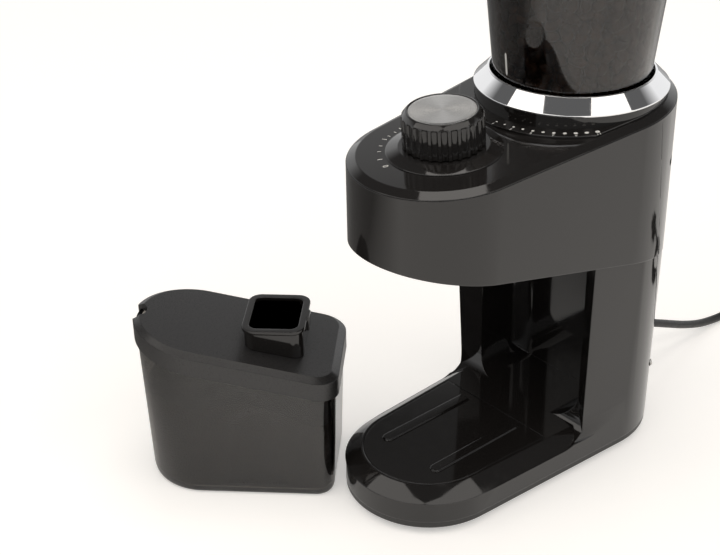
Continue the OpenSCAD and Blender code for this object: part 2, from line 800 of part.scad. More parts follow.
module strain_relief() color("#1d1b1a") place() at_gland() difference() {
    union() {
        translate([0, 0, -9.5]) cylinder(h = 3, r = gland_r + 2, $fn = 48);
        translate([0, 0, -9.5]) cylinder(h = 10.5, r = gland_r - 0.1, $fn = 48);
        translate([0, 0, 1]) cylinder(h = 3, r = gland_r + 1.2, $fn = 48);
        translate([0, 0, 4]) cylinder(h = relief_end - 4, r1 = gland_r - 0.8, r2 = cord_d / 2 + 1.1, $fn = 48);
    }
    translate([0, 0, -20]) cylinder(h = 60, r = cord_d / 2 + 0.08, $fn = 48);
    for (i = [0 : 3], s = [-1, 1]) translate([s * 7, 0, 7 + i * 3.4]) rotate([90, 0, 0]) cube([6.6, 1.3, 20], center = true);
}
module cord_clamp() color("#24211f") place() at_gland() difference() {
    translate([-9, -cord_d / 2 - 2.6, -20]) cube([18, cord_d + 5.2, 7]);
    translate([0, 0, -30]) cylinder(h = 60, r = cord_d / 2 + 0.04, $fn = 48);
    for (s = [-1, 1]) translate([s * 6.2, 0, -16.5]) rotate([90, 0, 0]) cylinder(h = 20, r = 1.4, center = true, $fn = 24);
}

function blend(a, b, c, d, t) = 0.5 * (2 * b + t * (c - a) + t * t * (2 * a - 5 * b + 4 * c - d) + t * t * t * (3 * b - a - 3 * c + d));
function route(points, steps) = [
    for (i = [0 : len(points) - 2], k = [0 : steps - 1])
        blend(points[max(i - 1, 0)], points[i], points[i + 1], points[min(i + 2, len(points) - 1)], k / steps),
    points[len(points) - 1]
];
function unit(v) = v / norm(v);
// Each ring stands square to the way and keeps its first corner on top
function tube_ring(line, i) =
    let (
        n = len(line) - 1,
        ahead = unit(line[min(i + 1, n)] - line[max(i - 1, 0)]),
        side = unit(cross(ahead, [0, 0, 1])),
        up = cross(side, ahead)
    )
    [for (k = [0 : cord_sides - 1])
        line[i] + cord_d / 2 * (side * sin(360 * k / cord_sides) + up * cos(360 * k / cord_sides))];
module tube(line) {
    n = len(line);
    polyhedron(
        points = [for (i = [0 : n - 1]) each tube_ring(line, i)],
        faces = [
            [for (k = [0 : cord_sides - 1]) k],
            for (i = [0 : n - 2], k = [0 : cord_sides - 1]) each [
                [i * cord_sides + k, (i + 1) * cord_sides + k, (i + 1) * cord_sides + (k + 1) % cord_sides],
                [i * cord_sides + k, (i + 1) * cord_sides + (k + 1) % cord_sides, i * cord_sides + (k + 1) % cord_sides]
            ],
            [for (k = [cord_sides - 1 : -1 : 0]) (n - 1) * cord_sides + k]
        ]
    );
}
module power_cord() color("#161514") place() {
    tube(route(cord_way, 3));
    tube(route(cord_tail, 3));
}
module cord_coil() color("#161514") place() translate([coil_x, coil_y, cord_lie]) rotate_extrude($fn = 96)
    for (dx = [-1, 1], dz = [0, 1]) translate([coil_r + dx * cord_d * 0.48, dz * cord_d * 0.94]) circle(cord_d / 2, $fn = 24);

module mains_plug() color("#1b1918") place() translate([plug_x, plug_y, plug_lie]) rotate([0, 90, 0]) {
    cylinder(h = 12, r1 = cord_d / 2 + 0.8, r2 = cord_d / 2 + 2.6, $fn = 48);
    translate([0, 0, 12]) linear_extrude(30) rounded_box(plug_lie - 0.6, 13, 6);
    translate([0, 0, 42]) linear_extrude(2) rounded_box(plug_lie - 1.6, 11.5, 5);
    color("#c2b280") for (s = [-1, 1]) translate([0, s * 6.35, 44]) linear_extrude(17) square([6.3, 1.5], center = true);
}

// ---- motor and gears ----

module motor_can() color("#a9a7a2") place() translate([0, motor_y, 0]) difference() {
    union() {
        translate([0, 0, motor_bottom]) cylinder(h = motor_length, r = motor_r, $fn = fine);
        translate([0, 0, motor_top - thin]) cylinder(h = plate_thickness + thin, r = motor_boss_r, $fn = 64);
    }
    translate([0, 0, motor_bottom - 1]) cylinder(h = motor_length - 2 + 1, r = motor_r - motor_wall, $fn = fine);
    cylinder(h = reach, r = motor_shaft_r + run_gap, $fn = 48);
    for (a = [0 : 60 : 300]) rotate([0, 0, a]) translate([motor_r, 0, motor_bottom + 8]) cube([6, 5, 10], center = true);
}
module motor_magnets() color("#4b4846") place() translate([0, motor_y, motor_bottom + 14]) difference() {
    cylinder(h = 34, r = motor_r - motor_wall, $fn = fine);
    translate([0, 0, -1]) cylinder(h = 40, r = magnet_bore, $fn = fine);
    for (s = [-1, 1]) translate([0, s * 20, 17]) cube([7, 40, 40], center = true);
}
module motor_cap() color("#2d2a28") place() translate([0, motor_y, motor_bottom]) difference() {
    union() {
        translate([0, 0, -2.5]) cylinder(h = 2.5, r = motor_r, $fn = fine);
        cylinder(h = 5, r = motor_r - motor_wall - 0.05, $fn = fine);
        for (s = [-1, 1]) translate([s * 12, 0, 0]) translate([-2.5, -3, -8]) cube([5, 6, 8]);
    }
    translate([0, 0, 1]) cylinder(h = 10, r = motor_r - motor_wall - 2, $fn = fine);
    translate([0, 0, -20]) cylinder(h = 40, r = motor_shaft_r + run_gap, $fn = 48);
}
// Saddle round the can, screwed up against the gearbox floor
module motor_mounts() color("#3a3734") place() translate([0, motor_y, 0]) {
    ring(motor_r + 2, motor_r, motor_top - 12, motor_top);
    for (s = [-1, 1]) translate([s * (motor_r + 5), 0, 0]) {
        translate([0, 0, motor_top - 4]) difference() {
            union() {
                cylinder(h = 4, r = 5, $fn = 48);
                translate([s > 0 ? -5 : 0, -5, 0]) cube([5, 10, 4]);
            }
            translate([-s * (motor_r + 5), 0, -1]) cylinder(h = 6, r = motor_r + 1, $fn = fine);
        }
        translate([0, 0, motor_top - 6]) cylinder(h = 2, r = 2.8, $fn = 32);
    }
}
module motor_rotor() color("#8c5a2e") place() translate([0, motor_y, motor_bottom + 12]) difference() {
    union() {
        // stack of laminations with six wound arms
        translate([0, 0, 4]) linear_extrude(30) {
            circle(5.6, $fn = 64);
            for (a = [0 : 60 : 300]) rotate([0, 0, a]) {
                translate([0, -2]) square([12, 4]);
                intersection() {
                    difference() {
                        circle(rotor_r, $fn = fine);
                        circle(11.4, $fn = fine);
                    }
                    translate([5, -5.4]) square([20, 10.8]);
                }
            }
        }
        translate([0, 0, -5]) cylinder(h = 10, r = 4.6, $fn = 64);
    }
    translate([0, 0, -20]) cylinder(h = 80, r = motor_shaft_r, $fn = 48);
}
module motor_shaft() color("#d2d0cb") place() translate([0, motor_y, motor_bottom - 22])
    cylinder(h = level_one + level_one_width + 0.6 - motor_bottom + 22, r = motor_shaft_r, $fn = 48);
module cooling_fan() color("#36322f") place() translate([0, motor_y, motor_bottom - 21]) {
    ring(4.5, motor_shaft_r, 0, 11);
    ring(17, motor_shaft_r, 0, 1.6);
    for (a = [0 : 45 : 315]) rotate([0, 0, a]) translate([4, -0.7, 1]) cube([12.6, 1.4, 8]);
}

// Half angle of an involute tooth at radius r
function inv(a) = tan(a) * 180 / PI - a;
function half_tooth(m, teeth, r) =
    let (pitch_r = m * teeth / 2, base_r = pitch_r * cos(pressure_angle))
    90 / teeth + inv(pressure_angle) - inv(acos(min(1, base_r / r))) - tooth_play / pitch_r * 90 / PI;
function tooth_radii(m, teeth) =
    let (low = max(m * teeth / 2 * cos(pressure_angle), m * (teeth / 2 - 1.25)), high = m * (teeth / 2 + 1))
    [for (k = [0 : 5]) low + (high - low) * k / 5];
function polar(r, a) = [r * cos(a), r * sin(a)];
module gear(m, teeth, width, turn) {
    radii = tooth_radii(m, teeth);
    root = m * (teeth / 2 - 1.25);
    linear_extrude(width) rotate([0, 0, turn]) polygon([
        for (i = [0 : teeth - 1]) each concat(
            [polar(root, i * 360 / teeth - half_tooth(m, teeth, radii[0]))],
            [for (k = [0 : 5]) polar(radii[k], i * 360 / teeth - half_tooth(m, teeth, radii[k]))],
            [for (k = [5 : -1 : 0]) polar(radii[k], i * 360 / teeth + half_tooth(m, teeth, radii[k]))],
            [polar(root, i * 360 / teeth + half_tooth(m, teeth, radii[0]))]
        )
    ]);
}

module motor_pinion() color("#c9a860") place() translate([0, motor_y, level_one]) difference() {
    gear(module_one, pinion_teeth, level_one_width, pinion_turn);
    translate([0, 0, -1]) cylinder(h = 20, r = motor_shaft_r, $fn = 48);
}
module idler_gear() color("#e6e1d3") place() translate([idler_x, idler_y, 0]) difference() {
    union() {
        translate([0, 0, level_one]) gear(module_one, idler_teeth, level_one_width, idler_turn);
        translate([0, 0, level_one + level_one_width - thin]) cylinder(h = 1.2 + 2 * thin, r = 6, $fn = 64);
        translate([0, 0, level_two]) gear(module_two, idler_small_teeth, level_two_width, idler_small_turn);
    }
    cylinder(h = reach, r = idler_pin_r + run_gap, $fn = 48);
    translate([0, 0, level_one - 1]) ring(17.5, 8.5, 0, 2.4);
}
module idler_pin() color("#c8c6c0") place() translate([idler_x, idler_y, gear_floor + 0.4])
    cylinder(h = chamber_floor - gear_floor - 0.8, r = idler_pin_r, $fn = 48);
module drive_gear() color("#e6e1d3") place() translate([0, 0, level_two]) difference() {
    union() {
        difference() {
            gear(module_two, drive_teeth, level_two_width, drive_turn);
            translate([0, 0, 5]) ring(21, 9, 0, 5);
        }
        for (a = [0 : 60 : 300]) rotate([0, 0, a]) translate([8, -1, 1]) cube([14, 2, level_two_width - 1.6]);
    }
    translate([0, 0, -1]) cylinder(h = 20, r = shaft_r, $fn = 64);
}
module drive_shaft() color("#c8c6c0") place() {
    translate([0, 0, gear_floor - 2.6]) cylinder(h = cone_top + 4 - gear_floor + 2.6, r = shaft_r, $fn = 64);
    translate([0, 0, level_two - 1.4]) cylinder(h = 1.4, r = shaft_r + 2, $fn = 64);
}
module shaft_bearings() color("#b48a4c") place() {
    ring(bearing_r, shaft_r + run_gap, gear_floor - 3, gear_floor + 2);
    ring(bearing_r, shaft_r + run_gap, chamber_floor, chamber_floor + bearing_height);
}

// ---- gearbox and grinding chamber ----

module gearbox_plan(margin, motor_side) hull() {
    circle(27.4 + margin, $fn = fine);
    translate([idler_x, idler_y]) circle(23.1 + margin, $fn = fine);
    translate([0, motor_y]) circle(motor_side, $fn = fine);
}
module gearbox_ears(width) for (p = ear_spots) {
    translate(p) circle(width, $fn = 48);
    rotate([0, 0, atan2(p[1], p[0])]) translate([20, -width * 0.9]) square([norm(p) - 20, width * 1.8]);
}
module gearbox_floor() color("#8f8b80") place() difference() {
    union() {
        translate([0, 0, gear_floor]) linear_extrude(plate_thickness) {
            gearbox_plan(gearbox_wall, motor_r + 0.5);
            gearbox_ears(boss_r);
            for (s = [-1, 1]) translate([s * (motor_r + 5), motor_y]) circle(5, $fn = 48);
            translate([-motor_r - 5, motor_y - 4.6]) square([2 * (motor_r + 5), 9.2]);
        }
        translate([0, 0, gear_floor + 1]) linear_extrude(gear_ceiling - gear_floor - 1) difference() {
            gearbox_plan(gearbox_wall - 0.2, 11);
            gearbox_plan(0, 9);
        }
        for (p = ear_spots) translate([p[0], p[1], gear_floor + 1]) cylinder(h = gear_ceiling - gear_floor - 1, r = boss_r - 0.4, $fn = 48);
        translate([0, 0, gear_floor - 3.8]) cylinder(h = 4, r = bearing_r + 1.8, $fn = fine);
    }
    translate([0, 0, gear_floor - 3]) cylinder(h = 20, r = bearing_r, $fn = fine);
    translate([0, motor_y, gear_floor - 1]) cylinder(h = 20, r = motor_boss_r, $fn = 64);
    translate([idler_x, idler_y, gear_floor + 0.4]) cylinder(h = 20, r = idler_pin_r, $fn = 48);
    for (p = ear_spots) translate([p[0], p[1], gear_floor - 1]) cylinder(h = 30, r = screw_r + 0.2, $fn = 24);
}
module gearbox_ceiling() color("#8f8b80") place() difference() {
    translate([0, 0, gear_ceiling]) linear_extrude(plate_thickness) {
        gearbox_plan(gearbox_wall, 11);
        gearbox_ears(boss_r);
        for (a = chamber_ears) rotate([0, 0, a]) {
            translate([chamber_ear_reach, 0]) circle(4.5, $fn = 48);
            translate([20, -4.1]) square([chamber_ear_reach - 20, 8.2]);
        }
    }
    translate([0, 0, gear_ceiling - 1]) cylinder(h = 20, r = shaft_r + 1, $fn = 64);
    translate([idler_x, idler_y, 0]) cylinder(h = chamber_floor - 0.4, r = idler_pin_r, $fn = 48);
    for (p = ear_spots) translate([p[0], p[1], gear_floor - 1]) cylinder(h = 40, r = screw_r + 0.2, $fn = 24);
    for (a = chamber_ears) rotate([0, 0, a]) translate([chamber_ear_reach, 0, gear_ceiling - 1]) cylinder(h = 9, r = screw_r, $fn = 24);
}
module gearbox_screws() color("#9a9894") place() for (p = ear_spots)
    translate([p[0], p[1], chamber_floor]) rotate([180, 0, 0])
        screw(length = chamber_floor - gear_floor + 4, r = screw_r, head_r = 3, head_height = 1.8);

module grinding_chamber() color("#6f6b64") place() difference() {
    union() {
        translate([0, 0, chamber_floor]) cylinder(h = chamber_top - chamber_floor, r = chamber_r + chamber_wall, $fn = fine);
        ring(chamber_flange_r, chamber_r + 1, chamber_top - 3, chamber_top);
        for (a = chamber_ears) rotate([0, 0, a]) translate([0, 0, chamber_floor]) {
            translate([chamber_ear_reach, 0, 0]) cylinder(h = 4, r = 4.5, $fn = 48);
            translate([20, -4.1, 0]) cube([chamber_ear_reach - 20, 8.2, 4]);
        }
    }
    difference() {
        translate([0, 0, chamber_floor + chamber_base]) cylinder(h = 60, r = chamber_r, $fn = fine);
        translate([0, 0, chamber_floor]) cylinder(h = bearing_height + 0.6, r = bearing_r + 2, $fn = fine);
    }
    translate([0, 0, chamber_floor - 1]) cylinder(h = 20, r = bearing_r, $fn = fine);
    for (a = chamber_ears) rotate([0, 0, a]) translate([chamber_ear_reach, 0, chamber_floor - 1]) cylinder(h = 9, r = screw_r + 0.2, $fn = 24);
    translate([-outlet_half_x, -chamber_r - 6, chamber_floor + chamber_base]) cube([2 * outlet_half_x, 20, outlet_window]);
    for (s = [-1, 1]) translate([s * chamber_r, 0, (carrier_bottom + chamber_top) / 2 + 1])
        cube([3.2, key_width + 0.6, chamber_top - carrier_bottom + 4], center = true);
}
module chamber_screws() color("#9a9894") place() for (a = chamber_ears) rotate([0, 0, a])
    translate([chamber_ear_reach, 0, chamber_floor + 4]) rotate([180, 0, 0])
        screw(length = 6, r = screw_r, head_r = 3, head_height = 1.8);

module outlet_spout() color("#1d1b1a") place() difference() {
    along_x(2 * (outlet_half_x + outlet_wall)) polygon([
        [-spout_front, 182], [-chamber_r - chamber_wall - 0.2, 182], [-chamber_r - chamber_wall - 0.2, chamber_floor - 0.3],
        [-29.7, chamber_floor - 0.3], [-29.7, gear_floor - 0.3], [outlet_y + outlet_half_y + outlet_wall, gear_floor - 0.3],
        [outlet_y + outlet_half_y + outlet_wall, outlet_bottom], [outlet_y - outlet_half_y - outlet_wall, outlet_bottom],
        [outlet_y - outlet_half_y - outlet_wall, 151], [-spout_front, 159]
    ]);
    along_x(2 * outlet_half_x) polygon([
        [2 - spout_front, 179.4], [-28, 179.4], [-28, chamber_floor + chamber_base], [-36.3, chamber_floor + chamber_base],
        [-36.3, 166], [-31.7, 164], [-31.7, 144.2], [outlet_y + outlet_half_y, 143],
        [outlet_y + outlet_half_y, outlet_bottom - 1], [outlet_y - outlet_half_y, outlet_bottom - 1],
        [outlet_y - outlet_half_y, 151.6], [2 - spout_front, 159.6]
    ]);
}
module outlet_seal() color("#3c3a37") place() intersection() {
    translate([0, outlet_y, 0]) linear_extrude(gear_floor - 0.1) difference() {
        rounded_box(outlet_half_x + outlet_wall + 2, outlet_half_y + outlet_wall + 1.6, 4);
        square(2 * [outlet_half_x + outlet_wall, outlet_half_y + outlet_wall], center = true);
    }
    under_slab(bay_wall, bay_wall + 0.8);
}

// ---- burrs ----

function cone_radius(z) = cone_burr_r - (cone_burr_r - cone_top_r) * (z - cone_bottom) / cone_height;
cone_lean = atan((cone_burr_r - cone_top_r) / cone_height);

module cone_burr() color("#77736d") place() difference() {
    rotate_extrude($fn = fine) polygon([
        [shaft_r, cone_bottom], [cone_burr_r - 0.6, cone_bottom], [cone_burr_r, cone_bottom + 0.6],
        [cone_top_r, cone_top], [shaft_r, cone_top]
    ]);
    for (i = [0 : burr_teeth - 1]) rotate([0, 0, i * 360 / burr_teeth]) translate([cone_burr_r + 0.35, 0, cone_bottom - 1])
        rotate([0, -cone_lean, 0]) rotate([14, 0, 0]) rotate([0, 0, 45]) cube([1.5, 1.5, 11]);
    for (i = [0 : burr_flutes - 1]) rotate([0, 0, i * 360 / burr_flutes]) translate([cone_radius(cone_bottom + 9) + 1.6, 0, cone_bottom + 9])
        rotate([0, -cone_lean - 2, 0]) rotate([16, 0, 0]) cylinder(h = 26, r1 = 1.6, r2 = 3.8, $fn = 48);
}
module ring_burr() color("#77736d") place() difference() {
    rotate_extrude($fn = fine) polygon([
        [cone_radius(ring_bottom) + burr_gap, ring_bottom], [ring_burr_r, ring_bottom], [ring_burr_r, ring_bottom + ring_height],
        [throat_low_r, ring_bottom + ring_height], [cone_radius(ring_bottom + 9) + burr_gap, ring_bottom + 9]
    ]);
    for (i = [0 : burr_teeth - 1]) rotate([0, 0, (i + 0.5) * 360 / burr_teeth])
        translate([cone_radius(ring_bottom) + burr_gap - 0.6, 0, ring_bottom - 1])
            rotate([0, -cone_lean, 0]) rotate([-14, 0, 0]) rotate([0, 0, -45]) cube([1.4, 1.4, 11]);
    for (i = [0 : 11]) rotate([0, 0, i * 30]) translate([cone_radius(ring_bottom + 9) + 0.6, 0, ring_bottom + 8])
        rotate([0, 26, 0]) rotate([-12, 0, 0]) cylinder(h = 18, r1 = 0.8, r2 = 2.4, $fn = 32);
    for (a = burr_screw_turns) rotate([0, 0, a]) translate([burr_screw_reach, 0, ring_bottom - 1]) {
        cylinder(h = 40, r = 1.2, $fn = 24);
        cylinder(h = 2.8, r = 2.1, $fn = 24);
    }
}
module burr_screws() color("#9a9894") place() for (a = burr_screw_turns) rotate([0, 0, a])
    translate([burr_screw_reach, 0, ring_bottom + 1.8]) screw(length = ring_height + 1.6, r = 1.15, head_r = 2, head_height = 1.4);

module burr_carrier() color("#8d8980") place() difference() {
    union() {
        translate([0, 0, carrier_bottom]) cylinder(h = carrier_step - carrier_bottom, r = carrier_r, $fn = fine);
        translate([0, 0, carrier_step - 1]) cylinder(h = carrier_top - carrier_step + 1, r = adjuster_bore - run_gap, $fn = fine);
        for (s = [-1, 1]) translate([s * carrier_r, 0, (carrier_bottom + carrier_step) / 2])
            cube([2.2, key_width, carrier_step - carrier_bottom], center = true);
    }
    rotate_extrude($fn = fine) polygon([
        [0, carrier_bottom - 1], [ring_burr_r + 0.02, carrier_bottom - 1], [ring_burr_r + 0.02, ring_bottom + ring_height],
        [throat_low_r, ring_bottom + ring_height], [26, carrier_top + 0.1], [0, carrier_top + 0.1]
    ]);
    for (a = burr_screw_turns) rotate([0, 0, a]) translate([burr_screw_reach, 0, ring_bottom + ring_height - 1]) cylinder(h = 6, r = 1.15, $fn = 24);
}
module adjuster_ring() color("#a33b22") place() difference() {
    union() {
        ring(adjuster_r, adjuster_bore, adjuster_bottom, adjuster_top);
        ring(adjuster_bore + 1, throat_r, adjuster_top - adjuster_roof, adjuster_top);
    }
    for (s = [-1, 1]) translate([s * key_slot_reach, 0, adjuster_top]) cube([9, 7, 2 * key_slot_depth], center = true);
    for (a = [0 : 10 : 350]) rotate([0, 0, a]) translate([adjuster_r + 0.6, 0, adjuster_bottom - 1])
        cylinder(h = adjuster_top - adjuster_bottom - 3, r = 1.6, $fn = 24);
}
module sweeper() color("#b9b6ae") place() translate([0, 0, sweeper_bottom]) difference() {
    union() {
        cylinder(h = sweeper_height, r = 9, $fn = 64);
        translate([0, 0, sweeper_height - 1.6]) cylinder(h = 1.6, r = cone_burr_r - 0.4, $fn = fine);
        for (a = [0 : 90 : 270]) rotate([0, 0, a]) translate([7, -1.5, -1.6]) cube([23.2, 3, sweeper_height + 1.2]);
    }
    translate([0, 0, -3]) cylinder(h = 20, r = shaft_r, $fn = 64);
    translate([0, 0, -3]) ring(9.4, 0, 0, 3);
    translate([0, 0, -3]) cylinder(h = 3, r = 12.4, $fn = 64);
}
module burr_nut() color("#c2c0ba") place() translate([0, 0, cone_top]) difference() {
    union() {
        cylinder(h = 1.2, r = 8, $fn = 64);
        translate([0, 0, 1.2 - thin]) cylinder(h = 4 + thin, r = 7.2, $fn = 6);
    }
    translate([0, 0, -1]) cylinder(h = 5, r = shaft_r, $fn = 64);
}

// ---- hopper ----

function hopper_radius(z) = hopper_r + hopper_flare * (z - ring_top);
module hopper() color("#5a5552") place() rotate_extrude($fn = fine) polygon([
    [throat_r, hopper_bottom], [hopper_radius(hopper_bottom) - 1, hopper_bottom], [hopper_radius(hopper_bottom + 1), hopper_bottom + 1],
    [hopper_radius(hopper_top), hopper_top], [hopper_radius(hopper_top) - hopper_wall, hopper_top],
    [hopper_radius(hopper_bottom + funnel_height + 3) - hopper_wall, hopper_bottom + funnel_height + 3],
    [throat_r, hopper_bottom + hopper_floor]
]);
module hopper_base() color("#1c1a19") place() {
    ring(hopper_radius(hopper_bottom) - 1.4, throat_r, hopper_bottom - hopper_base_plate, hopper_bottom);
    for (s = [-1, 1]) translate([s * key_slot_reach, 0, hopper_bottom - hopper_base_plate - (key_slot_depth - 0.4) / 2])
        cube([8, 6, key_slot_depth - 0.4 + 2 * thin], center = true);
}
module hopper_lid() color("#1c1a19") place() {
    translate([0, 0, hopper_top]) difference() {
        union() {
            translate([0, 0, seat_gap]) cylinder(h = 2.6, r = hopper_top_r + 1.2, $fn = fine);
            translate([0, 0, seat_gap + 2.6 - thin]) cylinder(h = 1.6, r1 = hopper_top_r + 0.6, r2 = hopper_top_r - 2.4, $fn = fine);
            ring(hopper_top_r - hopper_wall - 2, hopper_top_r - hopper_wall - 4, -9, 1);
        }
        translate([0, 0, 3.2]) ring(hopper_top_r - 7, 17, 0, 5);
    }
    translate([0, 0, hopper_top + 3]) rotate_extrude($fn = fine) polygon([
        [0, 0], [16, 0], [15, 3], [15, lid_rise - 4], [14, lid_rise - 3], [0, lid_rise - 3]
    ]);
}
module lid_seal() color("#6e6a66") place() ring(hopper_top_r - hopper_wall - 1.3, hopper_top_r - hopper_wall - 2, hopper_top - 7, hopper_top - 4);

// ---- grounds container ----

module jar_plan(inset) {
    translate([0, jar_front_y]) circle(jar_half - inset, $fn = fine);
    for (s = [-1, 1]) translate([s * (jar_half - jar_corner), jar_back_y - jar_corner]) circle(jar_corner - inset, $fn = fine);
    translate([inset - jar_half, jar_front_y]) square([2 * (jar_half - inset), jar_back_y - jar_corner - jar_front_y]);
    translate([jar_corner - jar_half, jar_front_y]) square([2 * (jar_half - jar_corner), jar_back_y - inset - jar_front_y]);
}
module lid_slab(low, high) slab(jar_rim(0) + low, jar_rim(0) + high, -lid_slope);
module jar_block(inset, floor_z) hull() {
    slice(floor_z) jar_plan(inset + jar_taper + 4);
    slice(floor_z + 1.6) jar_plan(inset + jar_taper + 1.6);
    slice(floor_z + 4.5) jar_plan(inset + jar_taper + 0.3);
    slice(floor_z + 7.5) jar_plan(inset + jar_taper);
    intersection() {
        linear_extrude(reach) jar_plan(inset + seat_gap);
        lid_slab(-thin, 0);
    }
}
module container_jar() color("#6b6360") container_frame() difference() {
    jar_block(0, 0);
    difference() {
        jar_block(jar_wall, jar_wall + 0.8);
        lid_slab(-thin, reach);
    }
    intersection() {
        translate([0, 0, 40]) linear_extrude(reach) jar_plan(jar_wall + seat_gap);
        lid_slab(-0.5, reach);
    }
    for (s = [-1, 1]) translate([s * (jar_half - jar_taper), 14, 0]) rotate([0, s * atan(jar_taper / 90), 0])
        translate([s * 4.2, 0, 0]) along_x(10) {
            translate([-22, 16]) square([44, 18]);
            translate([0, 34]) circle(22, $fn = 96);
        }
}
module container_lid() color("#141211") container_frame() difference() {
    union() {
        intersection() {
            linear_extrude(reach) difference() {
                jar_plan(-lid_lap);
                jar_plan(0.05);
            }
            lid_slab(-lid_skirt, seat_gap + thin);
        }
        intersection() {
            linear_extrude(reach) jar_plan(-lid_lap);
            lid_slab(seat_gap, lid_plate);
        }
        hull() {
            intersection() {
                linear_extrude(reach) jar_plan(-lid_lap + 0.4);
                lid_slab(lid_plate - thin, lid_plate);
            }
            intersection() {
                linear_extrude(reach) jar_plan(3);
                lid_slab(lid_top - thin, lid_top);
            }
        }
    }
    intersection() {
        linear_extrude(reach) jar_plan(lid_lap + 3);
        lid_slab(-1, lid_top - lid_inside - 1);
    }
    translate([0, chute_y, 0]) linear_extrude(reach) rounded_box(chute_half_x - 1.2, chute_half_y - 1.2, 6);
    translate([0, -jar_length / 2 - lid_lap, 0]) cylinder(h = reach, r = 8, $fn = 64);
}
module lid_chute() color("#141211") container_frame() difference() {
    union() {
        intersection() {
            translate([0, chute_y, 0]) linear_extrude(chute_top) rounded_box(chute_half_x, chute_half_y, 7);
            lid_slab(lid_top, reach);
        }
        intersection() {
            translate([0, chute_y, 0]) linear_extrude(chute_top) rounded_box(chute_half_x - 1.25, chute_half_y - 1.25, 6);
            lid_slab(-3, reach);
        }
        translate([0, chute_y, chute_top - 2.4]) linear_extrude(2.4) rounded_box(chute_half_x + 1.2, chute_half_y + 1.2, 8);
        translate([-5, chute_y + chute_half_y - 1, chute_top - 9]) cube([10, 3.4, 9]);
    }
    translate([0, chute_y, 0]) linear_extrude(reach) rounded_box(chute_half_x - chute_wall, chute_half_y - chute_wall, 5);
}
module lid_gasket() color("#7b7672") container_frame() intersection() {
    linear_extrude(reach) difference() {
        jar_plan(lid_lap + 1.8);
        jar_plan(lid_lap + 3);
    }
    lid_slab(-3, seat_gap);
}

// ---- what is drawn ----

main_housing();
rear_cover();
base_plate();
container_tray();
head_cover();
top_deck();
scale_collar();
hopper_neck();
chrome_ring();
knob_skirt();
rubber_feet();
base_screws();
cover_screws();
gearbox_floor();
gearbox_ceiling();
gearbox_screws();
idler_pin();
shaft_bearings();
motor_can();
motor_cap();
motor_magnets();
motor_mounts();
grinding_chamber();
chamber_screws();
outlet_spout();
outlet_seal();
timer_case();
timer_nut();
control_board();
board_parts();
strain_relief();
cord_clamp();
power_cord();
cord_coil();
mains_plug();
timer_knob();
knob_disc();
timer_shaft();
adjuster_ring();
burr_carrier();
ring_burr();
burr_screws();
drive_shaft();
drive_gear();
sweeper();
cone_burr();
burr_nut();
idler_gear();
motor_rotor();
motor_shaft();
motor_pinion();
cooling_fan();
hopper();
hopper_base();
hopper_lid();
lid_seal();
container_jar();
container_lid();
lid_chute();
lid_gasket();
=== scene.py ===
"""Looks of a conical burr coffee grinder, built round its packed construction model.

Lengths in the tables below are millimetres about the burr axis with z = 0 on the table;
at() turns them into the model's own metres.
"""

import math
import random

import bmesh
import bpy
from mathutils import Matrix, Vector, noise


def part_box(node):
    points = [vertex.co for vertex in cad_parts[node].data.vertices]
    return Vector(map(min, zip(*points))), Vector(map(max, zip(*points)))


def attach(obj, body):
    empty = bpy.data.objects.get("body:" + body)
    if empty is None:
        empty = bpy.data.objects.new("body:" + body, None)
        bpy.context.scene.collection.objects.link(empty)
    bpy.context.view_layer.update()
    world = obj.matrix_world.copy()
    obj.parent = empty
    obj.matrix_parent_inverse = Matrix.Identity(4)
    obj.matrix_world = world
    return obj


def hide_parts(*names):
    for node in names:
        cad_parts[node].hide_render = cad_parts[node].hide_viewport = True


bl_info = {
    "name": "Burr grinder studio",
    "version": (1, 0, 0),
    "blender": (4, 5, 0),
    "location": "3D View > Sidebar > Grinder",
    "description": "Dresses the coffee grinder's construction model and sets it in a small studio",
    "category": "Object",
}

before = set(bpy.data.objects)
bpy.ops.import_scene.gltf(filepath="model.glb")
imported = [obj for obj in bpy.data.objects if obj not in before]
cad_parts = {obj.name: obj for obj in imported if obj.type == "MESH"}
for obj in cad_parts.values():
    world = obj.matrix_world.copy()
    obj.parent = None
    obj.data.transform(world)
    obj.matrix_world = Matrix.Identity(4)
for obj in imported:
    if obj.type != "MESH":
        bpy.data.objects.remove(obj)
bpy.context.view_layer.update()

# The burr axis in the model's frame, read from a piece that is centred on it
_LOW, _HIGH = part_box("hopper")
AXIS = Vector(((_LOW[0] + _HIGH[0]) / 2, (_LOW[1] + _HIGH[1]) / 2, 0))
MM = 0.001
TURN = 2 * math.pi


def at(x, y, z):
    """A point given in millimetres about the burr axis, in the model's metres."""
    return AXIS + Vector((x, y, z)) * MM


def linear(hex_colour):
    """An sRGB hex colour as the linear RGBA that shader sockets take."""
    parts = [int(hex_colour[i : i + 2], 16) / 255 for i in (0, 2, 4)]
    return [c / 12.92 if c <= 0.04045 else ((c + 0.055) / 1.055) ** 2.4 for c in parts] + [1.0]


# ---- settings


class GrinderHousingSettings(bpy.types.PropertyGroup):
    """Colours and edges of the moulded body"""

    gloss_black: bpy.props.FloatVectorProperty(
        name="Polished black", description="Colour of the polished ABS mouldings",
        subtype="COLOR", size=3, min=0, max=1, default=linear("1c1a19")[:3],
    )
    satin_black: bpy.props.FloatVectorProperty(
        name="Satin black", description="Colour of the fine-textured mouldings",
        subtype="COLOR", size=3, min=0, max=1, default=linear("1b1a19")[:3],
    )
    edge_radius: bpy.props.FloatProperty(
        name="Edge radius", description="Radius of the moulded edges",
        unit="LENGTH", min=0.0001, max=0.003, default=0.0007,
    )


